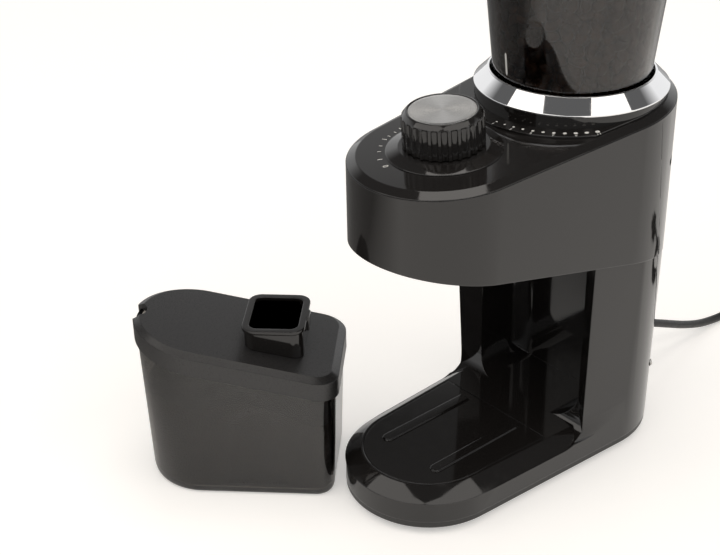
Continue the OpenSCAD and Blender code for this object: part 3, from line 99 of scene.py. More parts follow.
class GrinderDialSettings(bpy.types.PropertyGroup):
    """The timer knob and the marks"""

    flutes: bpy.props.IntProperty(
        name="Flutes", description="Grip flutes round the knob", min=12, max=40, default=26,
    )
    flute_depth: bpy.props.FloatProperty(
        name="Flute depth", description="How deep each grip flute is cut",
        unit="LENGTH", min=0.0003, max=0.002, default=0.0011,
    )
    mark_colour: bpy.props.FloatVectorProperty(
        name="Marks", description="Colour of the printed dots, ticks and numbers",
        subtype="COLOR", size=3, min=0, max=1, default=linear("e9e7e2")[:3],
    )


class GrinderContentsSettings(bpy.types.PropertyGroup):
    """Coffee in the hopper and in the container"""

    show_beans: bpy.props.BoolProperty(
        name="Beans", description="Fill the hopper with coffee beans", default=True,
    )
    show_grounds: bpy.props.BoolProperty(
        name="Grounds", description="Fill the container with ground coffee", default=True,
    )
    bean_top: bpy.props.FloatProperty(
        name="Bean level", description="Height of the beans above the table",
        unit="LENGTH", min=0.25, max=0.315, default=0.303,
    )
    grounds_depth: bpy.props.FloatProperty(
        name="Grounds depth", description="Depth of the ground coffee in the container",
        unit="LENGTH", min=0.01, max=0.075, default=0.062,
    )


class GrinderStageSettings(bpy.types.PropertyGroup):
    """Camera and light"""

    lens: bpy.props.FloatProperty(
        name="Lens", description="Focal length on a 36 mm wide sensor",
        subtype="DISTANCE_CAMERA", min=20, max=200, default=71.403,
    )
    light_level: bpy.props.FloatProperty(
        name="Light level", description="Factor on all the lamps", min=0.1, max=4, default=1.0,
    )


def settings(group):
    return getattr(bpy.context.scene, "grinder_" + group)


# ---- shader helpers


def add_node(tree, kind, inputs=None, **choices):
    """Adds one shader node, sets its choices, and fills or links its inputs."""
    made = tree.nodes.new("ShaderNode" + kind)
    for name, value in choices.items():
        setattr(made, name, value)
    for name, value in (inputs or {}).items():
        if isinstance(value, bpy.types.NodeSocket):
            tree.links.new(value, made.inputs[name])
        else:
            made.inputs[name].default_value = value
    return made


def new_material(name, **surface):
    """A material with one principled surface; returns it, its tree and that node."""
    found = bpy.data.materials.new(name)
    found.use_nodes = True
    tree = found.node_tree
    shader = tree.nodes["Principled BSDF"]
    for socket, value in surface.items():
        shader.inputs[socket.replace("_", " ")].default_value = value
    return found, tree, shader


def rgba(colour):
    return (*colour[:3], 1.0)


def spans(low, high, out_low, out_high):
    """The inputs that carry a value from one range to another."""
    return {"From Min": low, "From Max": high, "To Min": out_low, "To Max": out_high}


def in_plain_sight(tree):
    """Two switches: 1 where the backdrop is seen directly or through clear plastic, and 1 where
    a gloss mirrors it. Both are 0 where it lights something matt."""
    path = add_node(tree, "LightPath")
    unspread = add_node(tree, "Math", {0: path.outputs["Diffuse Depth"], 1: 0.5}, operation="LESS_THAN")
    through = add_node(tree, "Math", {0: path.outputs["Is Transmission Ray"], 1: unspread.outputs[0]},
                       operation="MULTIPLY")
    seen = add_node(tree, "Math", {0: path.outputs["Is Camera Ray"], 1: through.outputs[0]},
                    operation="MAXIMUM")
    return seen.outputs[0], path.outputs["Is Glossy Ray"]


def skin(tree, shader, scale, detail, rough=None, relief=None, edge=None, grit=0.5):
    """Gives a surface its fine structure from one noise of a real size.

    rough is (noise low, noise high, smoothest, roughest), relief is (strength, height in metres),
    edge is (radius in metres, samples) of a corner rolled over before the relief is laid on it."""
    place = add_node(tree, "TexCoord").outputs["Object"]
    pattern = add_node(tree, "TexNoise", {"Vector": place, "Scale": scale, "Detail": detail,
                                          "Roughness": grit})
    if rough:
        spread = add_node(tree, "MapRange", {"Value": pattern.outputs["Fac"], **spans(*rough)})
        tree.links.new(spread.outputs["Result"], shader.inputs["Roughness"])
    if relief:
        bump = add_node(tree, "Bump", {"Height": pattern.outputs["Fac"], "Strength": relief[0],
                                       "Distance": relief[1]})
        if edge:
            rolled = add_node(tree, "Bevel", {"Radius": edge[0]}, samples=edge[1])
            tree.links.new(rolled.outputs["Normal"], bump.inputs["Normal"])
        tree.links.new(bump.outputs["Normal"], shader.inputs["Normal"])
    return pattern.outputs["Fac"]


# ---- materials
# Pattern scales are features per metre: 160 gives clouds of about 6 mm, 2400 a grain of about 0.4 mm.


def polished_abs():
    """ABS from a mirror-polished mould: a near-black body under a sharp clear gloss.

    The gloss is broken only by 70 mm waves, the sink and flow of a thin moulded wall, and by
    6 mm clouds of handling haze, which keep the big panels from looking like glass."""
    look = settings("housing")
    made, tree, shader = new_material("abs_polished_black", Base_Color=rgba(look.gloss_black), IOR=1.54)
    skin(tree, shader, 14.0, 1.0, relief=(0.12, 0.0006), edge=(look.edge_radius, 6), grit=0.4)
    skin(tree, shader, 160.0, 3.0, rough=(0.35, 0.75, 0.045, 0.11), grit=0.55)
    return made


def textured_abs(name="abs_spark_textured", colour=None, roughness=0.42, grain=0.35):
    """ABS from a spark-eroded mould: an even fine grain of about 0.4 mm that spreads highlights."""
    base = rgba(colour or settings("housing").satin_black)
    made, tree, shader = new_material(name, Base_Color=base, IOR=1.54)
    skin(tree, shader, 2400.0, 2.0, rough=(0.3, 0.7, roughness - 0.06, roughness + 0.08),
         relief=(grain, 0.00012), edge=(0.0005, 4), grit=0.6)
    return made


def smoked_san(name, kept, per_metre):
    """Smoke-tinted SAN: a clear hard plastic that takes light away along the way through it,
    so two walls read darker than one and edges and corners read darkest."""
    made, tree, shader = new_material(name, Base_Color=(1.0, 1.0, 1.0, 1.0), Transmission_Weight=1.0,
                                      IOR=1.57)
    smoke = add_node(tree, "VolumeAbsorption", {"Color": linear(kept), "Density": per_metre})
    tree.links.new(smoke.outputs[0], tree.nodes["Material Output"].inputs["Volume"])
    skin(tree, shader, 30.0, 1.0, relief=(0.1, 0.0004))
    skin(tree, shader, 220.0, 3.0, rough=(0.4, 0.75, 0.012, 0.05))
    return made


def plated_chrome():
    """Bright chromium on polished ABS: a mirror with only the faintest wipe haze."""
    made, tree, shader = new_material("chromium_plated", Base_Color=linear("e8e8e9"), Metallic=1.0)
    skin(tree, shader, 120.0, 3.0, rough=(0.35, 0.8, 0.02, 0.07))
    return made


def spun_aluminium():
    """Aluminium disc brushed on a lathe and clear anodised: rings 0.15 mm apart pull the
    highlight into a bow tie that turns with the light."""
    made, tree, shader = new_material("aluminium_spun_brushed", Base_Color=linear("cfcdca"), Metallic=1.0,
                                      Anisotropic=0.75)
    split = add_node(tree, "SeparateXYZ", {"Vector": add_node(tree, "TexCoord").outputs["Object"]})
    flat = add_node(tree, "CombineXYZ", {"X": split.outputs["X"], "Y": split.outputs["Y"]})
    reach = add_node(tree, "VectorMath", {0: flat.outputs["Vector"]}, operation="LENGTH")
    rings = add_node(tree, "TexNoise", {"W": reach.outputs["Value"], "Scale": 6500.0, "Detail": 3.0},
                     noise_dimensions="1D")
    spread = add_node(tree, "MapRange", {"Value": rings.outputs["Fac"], **spans(0.3, 0.7, 0.2, 0.42)})
    tree.links.new(spread.outputs["Result"], shader.inputs["Roughness"])
    bump = add_node(tree, "Bump", {"Height": rings.outputs["Fac"], "Strength": 0.25, "Distance": 0.00003})
    tree.links.new(bump.outputs["Normal"], shader.inputs["Normal"])
    spin = add_node(tree, "Tangent", direction_type="RADIAL", axis="Z")
    tree.links.new(spin.outputs["Tangent"], shader.inputs["Tangent"])
    return made


def turned_metal(name, hex_colour, roughness, scale=900.0):
    """Machined or plated metal inside the body: even satin with faint tool marks."""
    made, tree, shader = new_material(name, Base_Color=linear(hex_colour), Metallic=1.0)
    skin(tree, shader, scale, 2.0, rough=(0.3, 0.7, roughness - 0.08, roughness + 0.1))
    return made


def moulded_nylon(name, hex_colour):
    """Acetal or nylon gears and parts: waxy, softly glowing at the edges."""
    made, tree, shader = new_material(name, Base_Color=linear(hex_colour), IOR=1.52, Roughness=0.38,
                                      Subsurface_Weight=0.15, Subsurface_Scale=0.002)
    skin(tree, shader, 700.0, 2.0, relief=(0.1, 0.0001))
    return made


def soft_rubber(name, hex_colour, roughness=0.55):
    """Moulded PVC or rubber: matt, with a fine dull bloom."""
    made, tree, shader = new_material(name, Base_Color=linear(hex_colour), IOR=1.5)
    skin(tree, shader, 500.0, 4.0, rough=(0.3, 0.7, roughness - 0.1, roughness + 0.12),
         relief=(0.15, 0.0001))
    return made


def ground_coffee():
    """Medium-ground roasted coffee: grains of 0.6 to 1 mm, drawn a little coarser so that
    they show, dark brown with lighter chaff."""
    made, tree, shader = new_material("coffee_ground", IOR=1.45, Roughness=0.85)
    place = add_node(tree, "TexCoord").outputs["Object"]
    grains = add_node(tree, "TexVoronoi", {"Vector": place, "Scale": 900.0})
    clumps = add_node(tree, "TexNoise", {"Vector": place, "Scale": 90.0, "Detail": 4.0})
    brown = add_node(tree, "ValToRGB", {"Fac": grains.outputs["Distance"]})
    brown.color_ramp.elements[0].color = linear("4a382c")
    brown.color_ramp.elements[1].color = linear("1f1610")
    brown.color_ramp.elements[1].position = 0.6
    # 6 and 7 are the colour inputs of a Mix node, and 2 is its colour output
    dark = add_node(tree, "Mix", {"Factor": clumps.outputs["Fac"], 6: brown.outputs["Color"],
                                  7: linear("2c2019")}, data_type="RGBA")
    tree.links.new(dark.outputs[2], shader.inputs["Base Color"])
    bump = add_node(tree, "Bump", {"Height": grains.outputs["Distance"], "Strength": 0.8, "Distance": 0.0008})
    tree.links.new(bump.outputs["Normal"], shader.inputs["Normal"])
    return made


def roasted_bean():
    """Medium-dark roasted beans: a thin oily sheen over brown that differs from bean to bean."""
    made, tree, shader = new_material("coffee_bean_roasted", IOR=1.46, Roughness=0.42)
    brown = add_node(tree, "ValToRGB", {"Fac": skin(tree, shader, 130.0, 2.0)})
    for element, colour, position in zip(brown.color_ramp.elements, ("2c1a10", "6a4428"), (0.3, 0.75)):
        element.color, element.position = linear(colour), position
    tree.links.new(brown.outputs["Color"], shader.inputs["Base Color"])
    skin(tree, shader, 1500.0, 2.0, relief=(0.3, 0.0002))
    return made


def printed_ink():
    """Pad-printed white ink: thin, flat and a little dull on the gloss."""
    base = rgba(settings("dials").mark_colour)
    made, tree, shader = new_material("ink_pad_printed_white", Base_Color=base)
    skin(tree, shader, 1800.0, 2.0, rough=(0.3, 0.7, 0.4, 0.6))
    return made


FINISHES = {
    "gloss": polished_abs,
    "satin": textured_abs,
    "half_gloss": lambda: textured_abs("abs_satin_moulded", linear("262525")[:3], 0.3, 0.12),
    "smoked": lambda: smoked_san("san_smoked_clear", "968d84", 560.0),
    "smoked_dark": lambda: smoked_san("san_smoked_dark", "8f867e", 620.0),
    "chrome": plated_chrome,
    "disc": spun_aluminium,
    "steel": lambda: turned_metal("steel_zinc_plated", "b3b1ad", 0.32),
    "tool_steel": lambda: turned_metal("tool_steel_ground", "7d7a76", 0.28),
    "bronze": lambda: turned_metal("bronze_sintered", "b07c43", 0.42),
    "copper": lambda: turned_metal("copper_enamelled_windings", "a3592c", 0.36, 2500.0),
    "ferrite": lambda: textured_abs("ferrite_pressed", linear("3d3b3a")[:3], 0.6),
    "alloy": lambda: turned_metal("zinc_alloy_die_cast", "9b9a97", 0.46, 300.0),
    "white_nylon": lambda: moulded_nylon("acetal_white", "e4dfd2"),
    "red_nylon": lambda: moulded_nylon("nylon_red", "a5311d"),
    "board": lambda: textured_abs("fibreglass_green_mask", linear("1e5a33")[:3], 0.35),
    "rubber": lambda: soft_rubber("rubber_black_moulded", "1d1c1c"),
    "cord": lambda: soft_rubber("pvc_black_extruded", "181717", 0.42),
    "silicone": lambda: soft_rubber("silicone_translucent", "a8a39d", 0.4),
    "grounds": ground_coffee,
    "beans": roasted_bean,
    "ink": printed_ink,
}
_made = {}


def finish_of(name):
    """Each finish is made once, the first time a piece asks for it."""
    if name not in _made:
        _made[name] = FINISHES[name]()
    return _made[name]


# ---- mesh helpers


def mesh_from(name, bm, corner=24):
    """A mesh with smooth shading; its corners sharper than that many degrees stay sharp."""
    bmesh.ops.recalc_face_normals(bm, faces=bm.faces)
    for face in bm.faces:
        face.smooth = True
    for edge in bm.edges:
        edge.smooth = len(edge.link_faces) == 2 and edge.calc_face_angle(0) <= math.radians(corner)
    mesh = bpy.data.meshes.new(name)
    bm.to_mesh(mesh)
    bm.free()
    return mesh


def add_piece(name, shape, body, finish, replaced=(), place=None, corner=24, even=False):
    """Links a shape as a piece that rides on a body and may stand for construction nodes.

    With even, its big faces set the shading, so that flats look flat up to their rolled edges."""
    mesh = shape if isinstance(shape, bpy.types.Mesh) else mesh_from(name, shape, corner)
    piece = bpy.data.objects.new(name, mesh)
    bpy.context.scene.collection.objects.link(piece)
    if place is not None:
        piece.matrix_world = place
    mesh.materials.clear()
    mesh.materials.append(finish_of(finish))
    bpy.context.view_layer.update()
    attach(piece, body)
    if replaced:
        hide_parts(*replaced)
    if even:
        weigh = piece.modifiers.new("even_normals", "WEIGHTED_NORMAL")
        weigh.keep_sharp, weigh.weight, weigh.mode = True, 80, "FACE_AREA"
    return piece


def circle(reach, height, steps):
    """A ring of points about the local z axis, from millimetres; the reach may depend on the angle."""
    ring = []
    for k in range(steps):
        a = TURN * k / steps
        r = reach(a) if callable(reach) else reach
        ring.append((r * math.cos(a) * MM, r * math.sin(a) * MM, height * MM))
    return ring


def bridge(bm, low, high, around=True):
    """Joins two rows of vertices with quads."""
    count = len(low)
    for i in range(count if around else count - 1):
        bm.faces.new((low[i], low[(i + 1) % count], high[(i + 1) % count], high[i]))


def loft(bm, rings, close_start=False, close_end=False, around=True):
    """Joins rings of equal length with quads; returns the rings' vertices."""
    rows = [[bm.verts.new(p) for p in ring] for ring in rings]
    for low, high in zip(rows, rows[1:]):
        bridge(bm, low, high, around)
    if close_start:
        bm.faces.new(reversed(rows[0]))
    if close_end:
        bm.faces.new(rows[-1])
    return rows


def rounded(profile, radius, steps=5):
    """A closed profile with its corners rounded; each corner may give its own radius."""
    out = []
    count = len(profile)
    for i, corner in enumerate(profile):
        here = Vector(corner[:2])
        size = corner[2] if len(corner) > 2 else radius
        before = Vector(profile[i - 1][:2]) - here
        after = Vector(profile[(i + 1) % count][:2]) - here
        if size <= 0:
            out.append(tuple(here))
            continue
        angle = before.angle(after)
        # a rounding never takes up more than 0.48 of the line on either side of it
        cut = min(size / math.tan(angle / 2), before.length * 0.48, after.length * 0.48)
        start, end = here + before.normalized() * cut, here + after.normalized() * cut
        for k in range(steps + 1):
            t = k / steps
            out.append(tuple(start * (1 - t) ** 2 + here * 2 * t * (1 - t) + end * t * t))
    return out


def revolve(profile, steps=192):
    """A closed profile of (radius, height) in millimetres turned about the local z axis."""
    bm = bmesh.new()
    rows = []
    for k in range(steps):
        a = TURN * k / steps
        rows.append([bm.verts.new((r * math.cos(a) * MM, r * math.sin(a) * MM, z * MM)) for r, z in profile])
    count = len(profile)
    for k in range(steps):
        one, two = rows[k], rows[(k + 1) % steps]
        for i in range(count):
            j = (i + 1) % count
            bm.faces.new((one[i], two[i], two[j], one[j]))
    bmesh.ops.remove_doubles(bm, verts=bm.verts, dist=1e-7)
    return bm


def on_axis():
    return Matrix.Translation(at(0, 0, 0))


# The deck is a plane that rises towards the back by this much per millimetre
DECK_SLOPE = 0.073
DECK_TILT = math.atan(DECK_SLOPE)
DECK_HEIGHT = 227.1
KNOB_Y = -100.8


def deck_z(y):
    return DECK_HEIGHT + DECK_SLOPE * y


def on_deck(y):
    """A frame square to the sloping deck, with its origin on the deck's surface."""
    return Matrix.Translation(at(0, y, deck_z(y))) @ Matrix.Rotation(DECK_TILT, 4, "X")


# Facets that turn by less than FLAT_ANGLE are one face, and by more than CREASE they meet in a corner
FLAT_ANGLE, CREASE = math.radians(0.4), math.radians(22)


def moulded_copy(node, edge):
    """A construction node's mesh with coplanar facets joined and its corners rolled over
    by a radius in millimetres."""
    bm = bmesh.new()
    bm.from_mesh(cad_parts[node].data)
    bmesh.ops.remove_doubles(bm, verts=bm.verts, dist=2e-6)
    bmesh.ops.dissolve_limit(
        bm, angle_limit=FLAT_ANGLE, verts=bm.verts, edges=bm.edges, use_dissolve_boundaries=False
    )
    corners = [e for e in bm.edges if len(e.link_faces) == 2 and e.calc_face_angle(0) > CREASE]
    bmesh.ops.bevel(
        bm, geom=corners, offset=edge * MM, offset_type="OFFSET", segments=2, profile=0.5,
        affect="EDGES", clamp_overlap=True,
    )
    return bm


# ---- the mouldings

# node, piece, body, finish, slot, edge radius in mm
MOULDINGS = (
    ("main_housing", "front_shell", "housing", "gloss", "gloss_black", 0.5),
    ("rear_cover", "rear_shell", "housing", "gloss", "gloss_black", 0.3),
    ("top_deck", "deck_plate", "housing", "gloss", "gloss_black", 0.35),
    ("container_tray", "tray_plate", "housing", "gloss", "gloss_black", 0.35),
    ("base_plate", "foot_plate", "housing", "satin", "satin_black", 0.3),
    ("head_cover", "under_cover", "housing", "satin", "satin_black", 0.4),
    ("outlet_spout", "spout", "housing", "gloss", "satin_black", 0.3),
    ("strain_relief", "bend_relief", "housing", "rubber", "satin_black", 0.2),
    ("hopper_base", "hopper_foot", "bean_hopper", "satin", "satin_black", 0.2),
)
# finish, construction nodes that are shown as they are
INNER_PIECES = {
    "rubber": ("rubber_feet", "outlet_seal"),
    "steel": ("base_screws", "cover_screws", "gearbox_screws", "chamber_screws", "burr_screws", "idler_pin",
              "motor_can", "timer_nut", "timer_shaft", "drive_shaft", "burr_nut", "motor_shaft"),
    "alloy": ("gearbox_floor", "gearbox_ceiling", "grinding_chamber", "burr_carrier"),
    "bronze": ("shaft_bearings", "motor_pinion"),
    "satin": ("motor_cap", "motor_mounts", "board_parts", "cord_clamp", "cooling_fan", "mains_plug"),
    "ferrite": ("motor_magnets",),
    "white_nylon": ("timer_case", "drive_gear", "sweeper", "idler_gear"),
    "board": ("control_board",),
    "red_nylon": ("adjuster_ring",),
    "tool_steel": ("ring_burr", "cone_burr"),
    "copper": ("motor_rotor",),
    "silicone": ("lid_seal", "lid_gasket"),
}


class GRINDER_OT_mouldings(bpy.types.Operator):
    """Builds the moulded body pieces and gives the pieces inside their finishes"""

    bl_idname = "grinder.mouldings"
    bl_label = "Mouldings and inner pieces"

    def execute(self, context):
        for node, name, body, finish, slot, edge in MOULDINGS:
            add_piece(name, moulded_copy(node, edge), body, finish, [node], even=True)
        for finish, nodes in INNER_PIECES.items():
            for node in nodes:
                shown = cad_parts[node].data
                shown.materials.clear()
                shown.materials.append(finish_of(finish))
        return {"FINISHED"}


# ---- collar, neck and chrome ring

RING_R, RING_TOP_R, RING_LOW, RING_TOP = 56.4, 48.0, 232.3, 241.2


class GRINDER_OT_collar(bpy.types.Operator):
    """Builds the scale collar, the neck and the chrome ring under the hopper"""

    bl_idname = "grinder.collar"
    bl_label = "Collar and chrome ring"

    def execute(self, context):
        neck = revolve(rounded([(50, 222.8), (55.4, 222.8), (55.4, 232.3), (50, 232.3)], 0.3))
        add_piece("neck_ring", neck, "housing", "gloss", ["hopper_neck"], on_axis(), even=True)
        # radius, height, rounding: a straight cone with its top edge turned in
        outline = [
            (54.2, RING_LOW, 0.2), (RING_R - 0.1, RING_LOW, 0.3), (RING_R, RING_LOW + 0.9, 0.5),
            (RING_TOP_R + 0.5, RING_TOP - 0.2, 0.8), (RING_TOP_R - 0.7, RING_TOP, 0.25),
            (RING_TOP_R - 0.7, RING_TOP - 1.6, 0.2), (54.2, RING_LOW + 1.2, 0.2),
        ]
        chrome = revolve(rounded(outline, 0.3, 6), 256)
        add_piece("chrome_cone", chrome, "housing", "chrome", ["chrome_ring"], on_axis(),
                  even=True)
        collar = moulded_copy("scale_collar", 0.3)
        add_piece("collar_plate", collar, "housing", "gloss", ["scale_collar"], even=True)
        return {"FINISHED"}


# ---- timer dial

KNOB_R, KNOB_LOW, KNOB_HIGH, SHAFT_R = 22.7, 3.3, 23.8, 3.05
DISC_R, DISC_LOW, DISC_THICK, DISC_STEPS = 18.7, KNOB_HIGH - 1.2, 1.0, 192
# part of each flute's pitch that is groove
GROOVE = 0.66


class GRINDER_OT_dial(bpy.types.Operator):
    """Builds the fluted timer knob, its spun metal disc and the skirt under it"""

    bl_idname = "grinder.dial"
    bl_label = "Timer dial"

    def execute(self, context):
        self.knob()
        self.disc()
        skirt = revolve(rounded([(10, 0.02), (32.3, 0.02), (32.3, 0.6), (25.2, 3.0), (10, 3.0)], 0.35))
        add_piece("dial_skirt", skirt, "housing", "gloss", ["knob_skirt"], on_deck(KNOB_Y),
                  even=True)
        return {"FINISHED"}

    def knob(self):
        look = settings("dials")
        around = look.flutes * 20
        deep = look.flute_depth / MM

        def flute(turn):
            # scalloped grooves with narrow lands between them
            phase = abs(((turn * look.flutes / TURN + 0.5) % 1) - 0.5) * 2
            return max(0.0, 1 - (phase / GROOVE) ** 4) ** 0.5 if phase < GROOVE else 0.0

        # radius trimmed off, height, share of the flute's depth
        levels = [
            (1.6, KNOB_LOW, 0), (0.5, KNOB_LOW, 1), (0.15, KNOB_LOW + 0.15, 1), (0.0, KNOB_LOW + 0.5, 1),
            (0.0, KNOB_LOW + 5, 1), (0.0, KNOB_LOW + 10, 1), (0.05, KNOB_HIGH - 4.4, 1),
            (0.1, KNOB_HIGH - 3.6, 1), (0.16, KNOB_HIGH - 3.2, 0.9), (0.26, KNOB_HIGH - 2.9, 0.45),
            (0.42, KNOB_HIGH - 2.6, 0.05), (1.15, KNOB_HIGH - 1.75, 0), (2.3, KNOB_HIGH - 0.45, 0),
            (2.62, KNOB_HIGH - 0.14, 0), (2.9, KNOB_HIGH, 0), (3.6, KNOB_HIGH, 0),
            (3.8, KNOB_HIGH - 0.12, 0), (3.9, KNOB_HIGH - 0.4, 0), (3.92, KNOB_HIGH - 1.2, 0),
        ]
        rings = [
            circle(lambda turn: KNOB_R - trim - deep * share * flute(turn), height, around)
            for trim, height, share in levels
        ]
        # radius, height: a wall 4 mm thick, open below, and the socket for the shaft
        hollow = ((18.5, KNOB_LOW + 0.1), (18.2, 17.0), (5.6, 17.2), (5.6, 5.2), (SHAFT_R, 5.2))
        bm = bmesh.new()
        rows = loft(bm, rings)
        inside = loft(bm, [circle(r, z, around) for r, z in hollow])
        top = [bm.verts.new(p) for p in circle(SHAFT_R, DISC_LOW, around)]
        for low, high in ((inside[0], rows[0]), (rows[-1], top), (top, inside[-1])):
            bridge(bm, low, high)
        add_piece("dial_knob", bm, "timer_dial", "gloss", ["timer_knob"], on_deck(KNOB_Y),
                  corner=40)

    def disc(self):
        flat, high = DISC_R - 0.35, DISC_LOW + DISC_THICK
        outline = [
            (DISC_R, DISC_LOW), (DISC_R, DISC_LOW + 0.75), (DISC_R - 0.1, DISC_LOW + 0.93), (flat, high),
        ]
        outline += [(flat * (1 - step / 12) + 0.02, high) for step in range(1, 12)]
        bm = bmesh.new()
        loft(bm, [circle(r, z, DISC_STEPS) for r, z in outline], close_start=True, close_end=True)
        add_piece("dial_disc", bm, "timer_dial", "disc", ["knob_disc"], on_deck(KNOB_Y))


# ---- printed marks

SCALE_R, COLLAR_THICK = 60.6, 1.2
# how far the ink stands off what it is printed on
DOT_LIFT, FIGURE_LIFT, TICK_LIFT, DIAL_FIGURE_LIFT, POINTER_LIFT = 0.03, 0.04, 0.04, 0.05, 0.06
# degrees round the dial; the long ones are among the others
TICKS = (-118, -133, -144, -157, -164, -173, 179, 170, 161, 152, 143, 134, 125)
LONG_TICKS = (-118, -157, 179, 143)


class GRINDER_OT_marks(bpy.types.Operator):
    """Prints the growing dots of the grind scale, the ticks round the dial and the hopper's pointer"""

    bl_idname = "grinder.marks"
    bl_label = "Printed marks"

    def execute(self, context):
        bm = bmesh.new()
        # dots grow from fine to coarse, as the grains do
        for k in range(11):
            turn = math.radians(-90 + k * 5.6)
            size = 0.55 + 0.075 * k
            self.spot(bm, SCALE_R * math.cos(turn), SCALE_R * math.sin(turn), size)
        add_piece("scale_dots", bm, "housing", "ink")
        self.ticks()
        self.numbers()
        self.pointer()
        return {"FINISHED"}

    def spot(self, bm, x, y, radius):
        lift = COLLAR_THICK + DOT_LIFT
        ring = []
        for k in range(20):
            a = TURN * k / 20
            px, py = x + radius * math.cos(a), y + radius * math.sin(a)
            ring.append(bm.verts.new(at(px, py, deck_z(py) + lift)))
        middle = bm.verts.new(at(x, y, deck_z(y) + lift))
        for k in range(20):
            bm.faces.new((ring[k], ring[(k + 1) % 20], middle))

    def ticks(self):
        bm = bmesh.new()
        for degrees in TICKS:
            a = math.radians(degrees)
            along, across = Vector((math.cos(a), math.sin(a))), Vector((-math.sin(a), math.cos(a))) * 0.28
            near, far = along * 34.6, along * (37.4 if degrees in LONG_TICKS else 36.4)
            flat = [near - across, far - across, far + across, near + across]
            bm.faces.new([bm.verts.new((p.x * MM, p.y * MM, TICK_LIFT * MM)) for p in flat])
        add_piece("dial_ticks", bm, "housing", "ink", place=on_deck(KNOB_Y))

    def numbers(self):
        """Small figures beside every second dot, and a nought at the dial's rest."""
        marks = [(str(1 + 2 * k), SCALE_R + 3.0, -90 + k * 11.2, 2.2) for k in range(6)]
        for text, reach, degrees, height in marks:
            a = math.radians(degrees)
            x, y = reach * math.cos(a), reach * math.sin(a)
            lift = COLLAR_THICK + FIGURE_LIFT
            stand = Matrix.Translation(at(x, y, deck_z(y) + lift)) @ Matrix.Rotation(DECK_TILT, 4, "X")
            place = stand @ Matrix.Rotation(a + math.pi / 2, 4, "Z")
            self.figure("scale_figure_" + text, text, height, place)
        a = math.radians(-104)
        where = Vector((36.2 * math.cos(a), 36.2 * math.sin(a), DIAL_FIGURE_LIFT)) * MM
        stand = on_deck(KNOB_Y) @ Matrix.Translation(where)
        self.figure("dial_figure_0", "0", 3.4, stand @ Matrix.Rotation(a + math.pi / 2, 4, "Z"))

    def figure(self, name, text, height, place):
        curve = bpy.data.curves.new(name, "FONT")
        # the built-in font's digits are lower than its nominal size
        curve.body, curve.size, curve.align_x, curve.align_y = text, height * MM * 1.35, "CENTER", "CENTER"
        drawn = bpy.data.objects.new(name + "_outline", curve)
        bpy.context.scene.collection.objects.link(drawn)
        bpy.context.view_layer.update()
        mesh = bpy.data.meshes.new_from_object(drawn.evaluated_get(bpy.context.evaluated_depsgraph_get()))
        bpy.data.objects.remove(drawn)
        bpy.data.curves.remove(curve)
        mesh.name = name
        add_piece(name, mesh, "housing", "ink", place=place)

    def pointer(self):
        bm = bmesh.new()
        rings = []
        for k in range(25):
            z = 245 + 13.5 * k / 24
            half = 0.85 * min(1, (k + 0.6) / 2.5, (24.6 - k) / 2.5)
            r = hopper_radius(z) + POINTER_LIFT
            ring = []
            for j in range(7):
                a = math.radians(-100) + (j / 6 - 0.5) * 2 * half / r
                ring.append((r * math.cos(a) * MM, r * math.sin(a) * MM, z * MM))
            rings.append(ring)
        loft(bm, rings, around=False)
        add_piece("hopper_pointer", bm, "bean_hopper", "ink", place=on_axis())


# ---- hopper


HOPPER_R, HOPPER_FLARE, HOPPER_WALL, HOPPER_LOW, HOPPER_HIGH = 45.6, 0.105, 2.2, 222.3, 322.0


def hopper_radius(z):
    return HOPPER_R + HOPPER_FLARE * (z - RING_TOP)


class GRINDER_OT_hopper(bpy.types.Operator):
    """Builds the smoked hopper and its lid"""

    bl_idname = "grinder.hopper"
    bl_label = "Hopper"

    def execute(self, context):
        wall, low, high = HOPPER_WALL, HOPPER_LOW, HOPPER_HIGH
        # radius, height, rounding
        outline = [
            (17, low, 0.4), (hopper_radius(low) - 1, low, 0), (hopper_radius(low + 1), low + 1, 0.3),
            (hopper_radius(high), high, 0.9), (hopper_radius(high) - wall, high, 0.9),
            (hopper_radius(237.3) - wall, 237.3, 4), (17, low + 3, 0.5),
        ]
        bowl = revolve(rounded(outline, 0.5, 6), 256)
        add_piece("hopper_bowl", bowl, "bean_hopper", "smoked_dark", ["hopper"], on_axis(),
                  corner=60)
        cap = moulded_copy("hopper_lid", 0.4)
        add_piece("hopper_cap", cap, "bean_hopper_lid", "gloss", ["hopper_lid"], even=True)
        return {"FINISHED"}


# ---- grounds container

JAR_HALF, JAR_FRONT, JAR_BACK, JAR_CORNER, JAR_WALL, JAR_LEAN = 38.5, -22.5, 61.0, 14.0, 2.2, 3.0
JAR_HEIGHT, LID_SLOPE = 79.0, 0.205
# the foot's rounding ends at JAR_FOOT, and above it the wall leans out until JAR_TOP_INSET is left
JAR_FOOT, JAR_TOP_INSET, JAR_RIM_DROP = 7.5, 0.3, 0.3
# x, y and turn of the container where it stands
JAR_PLACE = (-93, -180, -45)


def jar_frame():
    x, y, turn = JAR_PLACE
    return Matrix.Translation(at(x, y, 0)) @ Matrix.Rotation(math.radians(turn), 4, "Z")


def jar_rim(y):
    return JAR_HEIGHT + LID_SLOPE * (JAR_BACK - y)


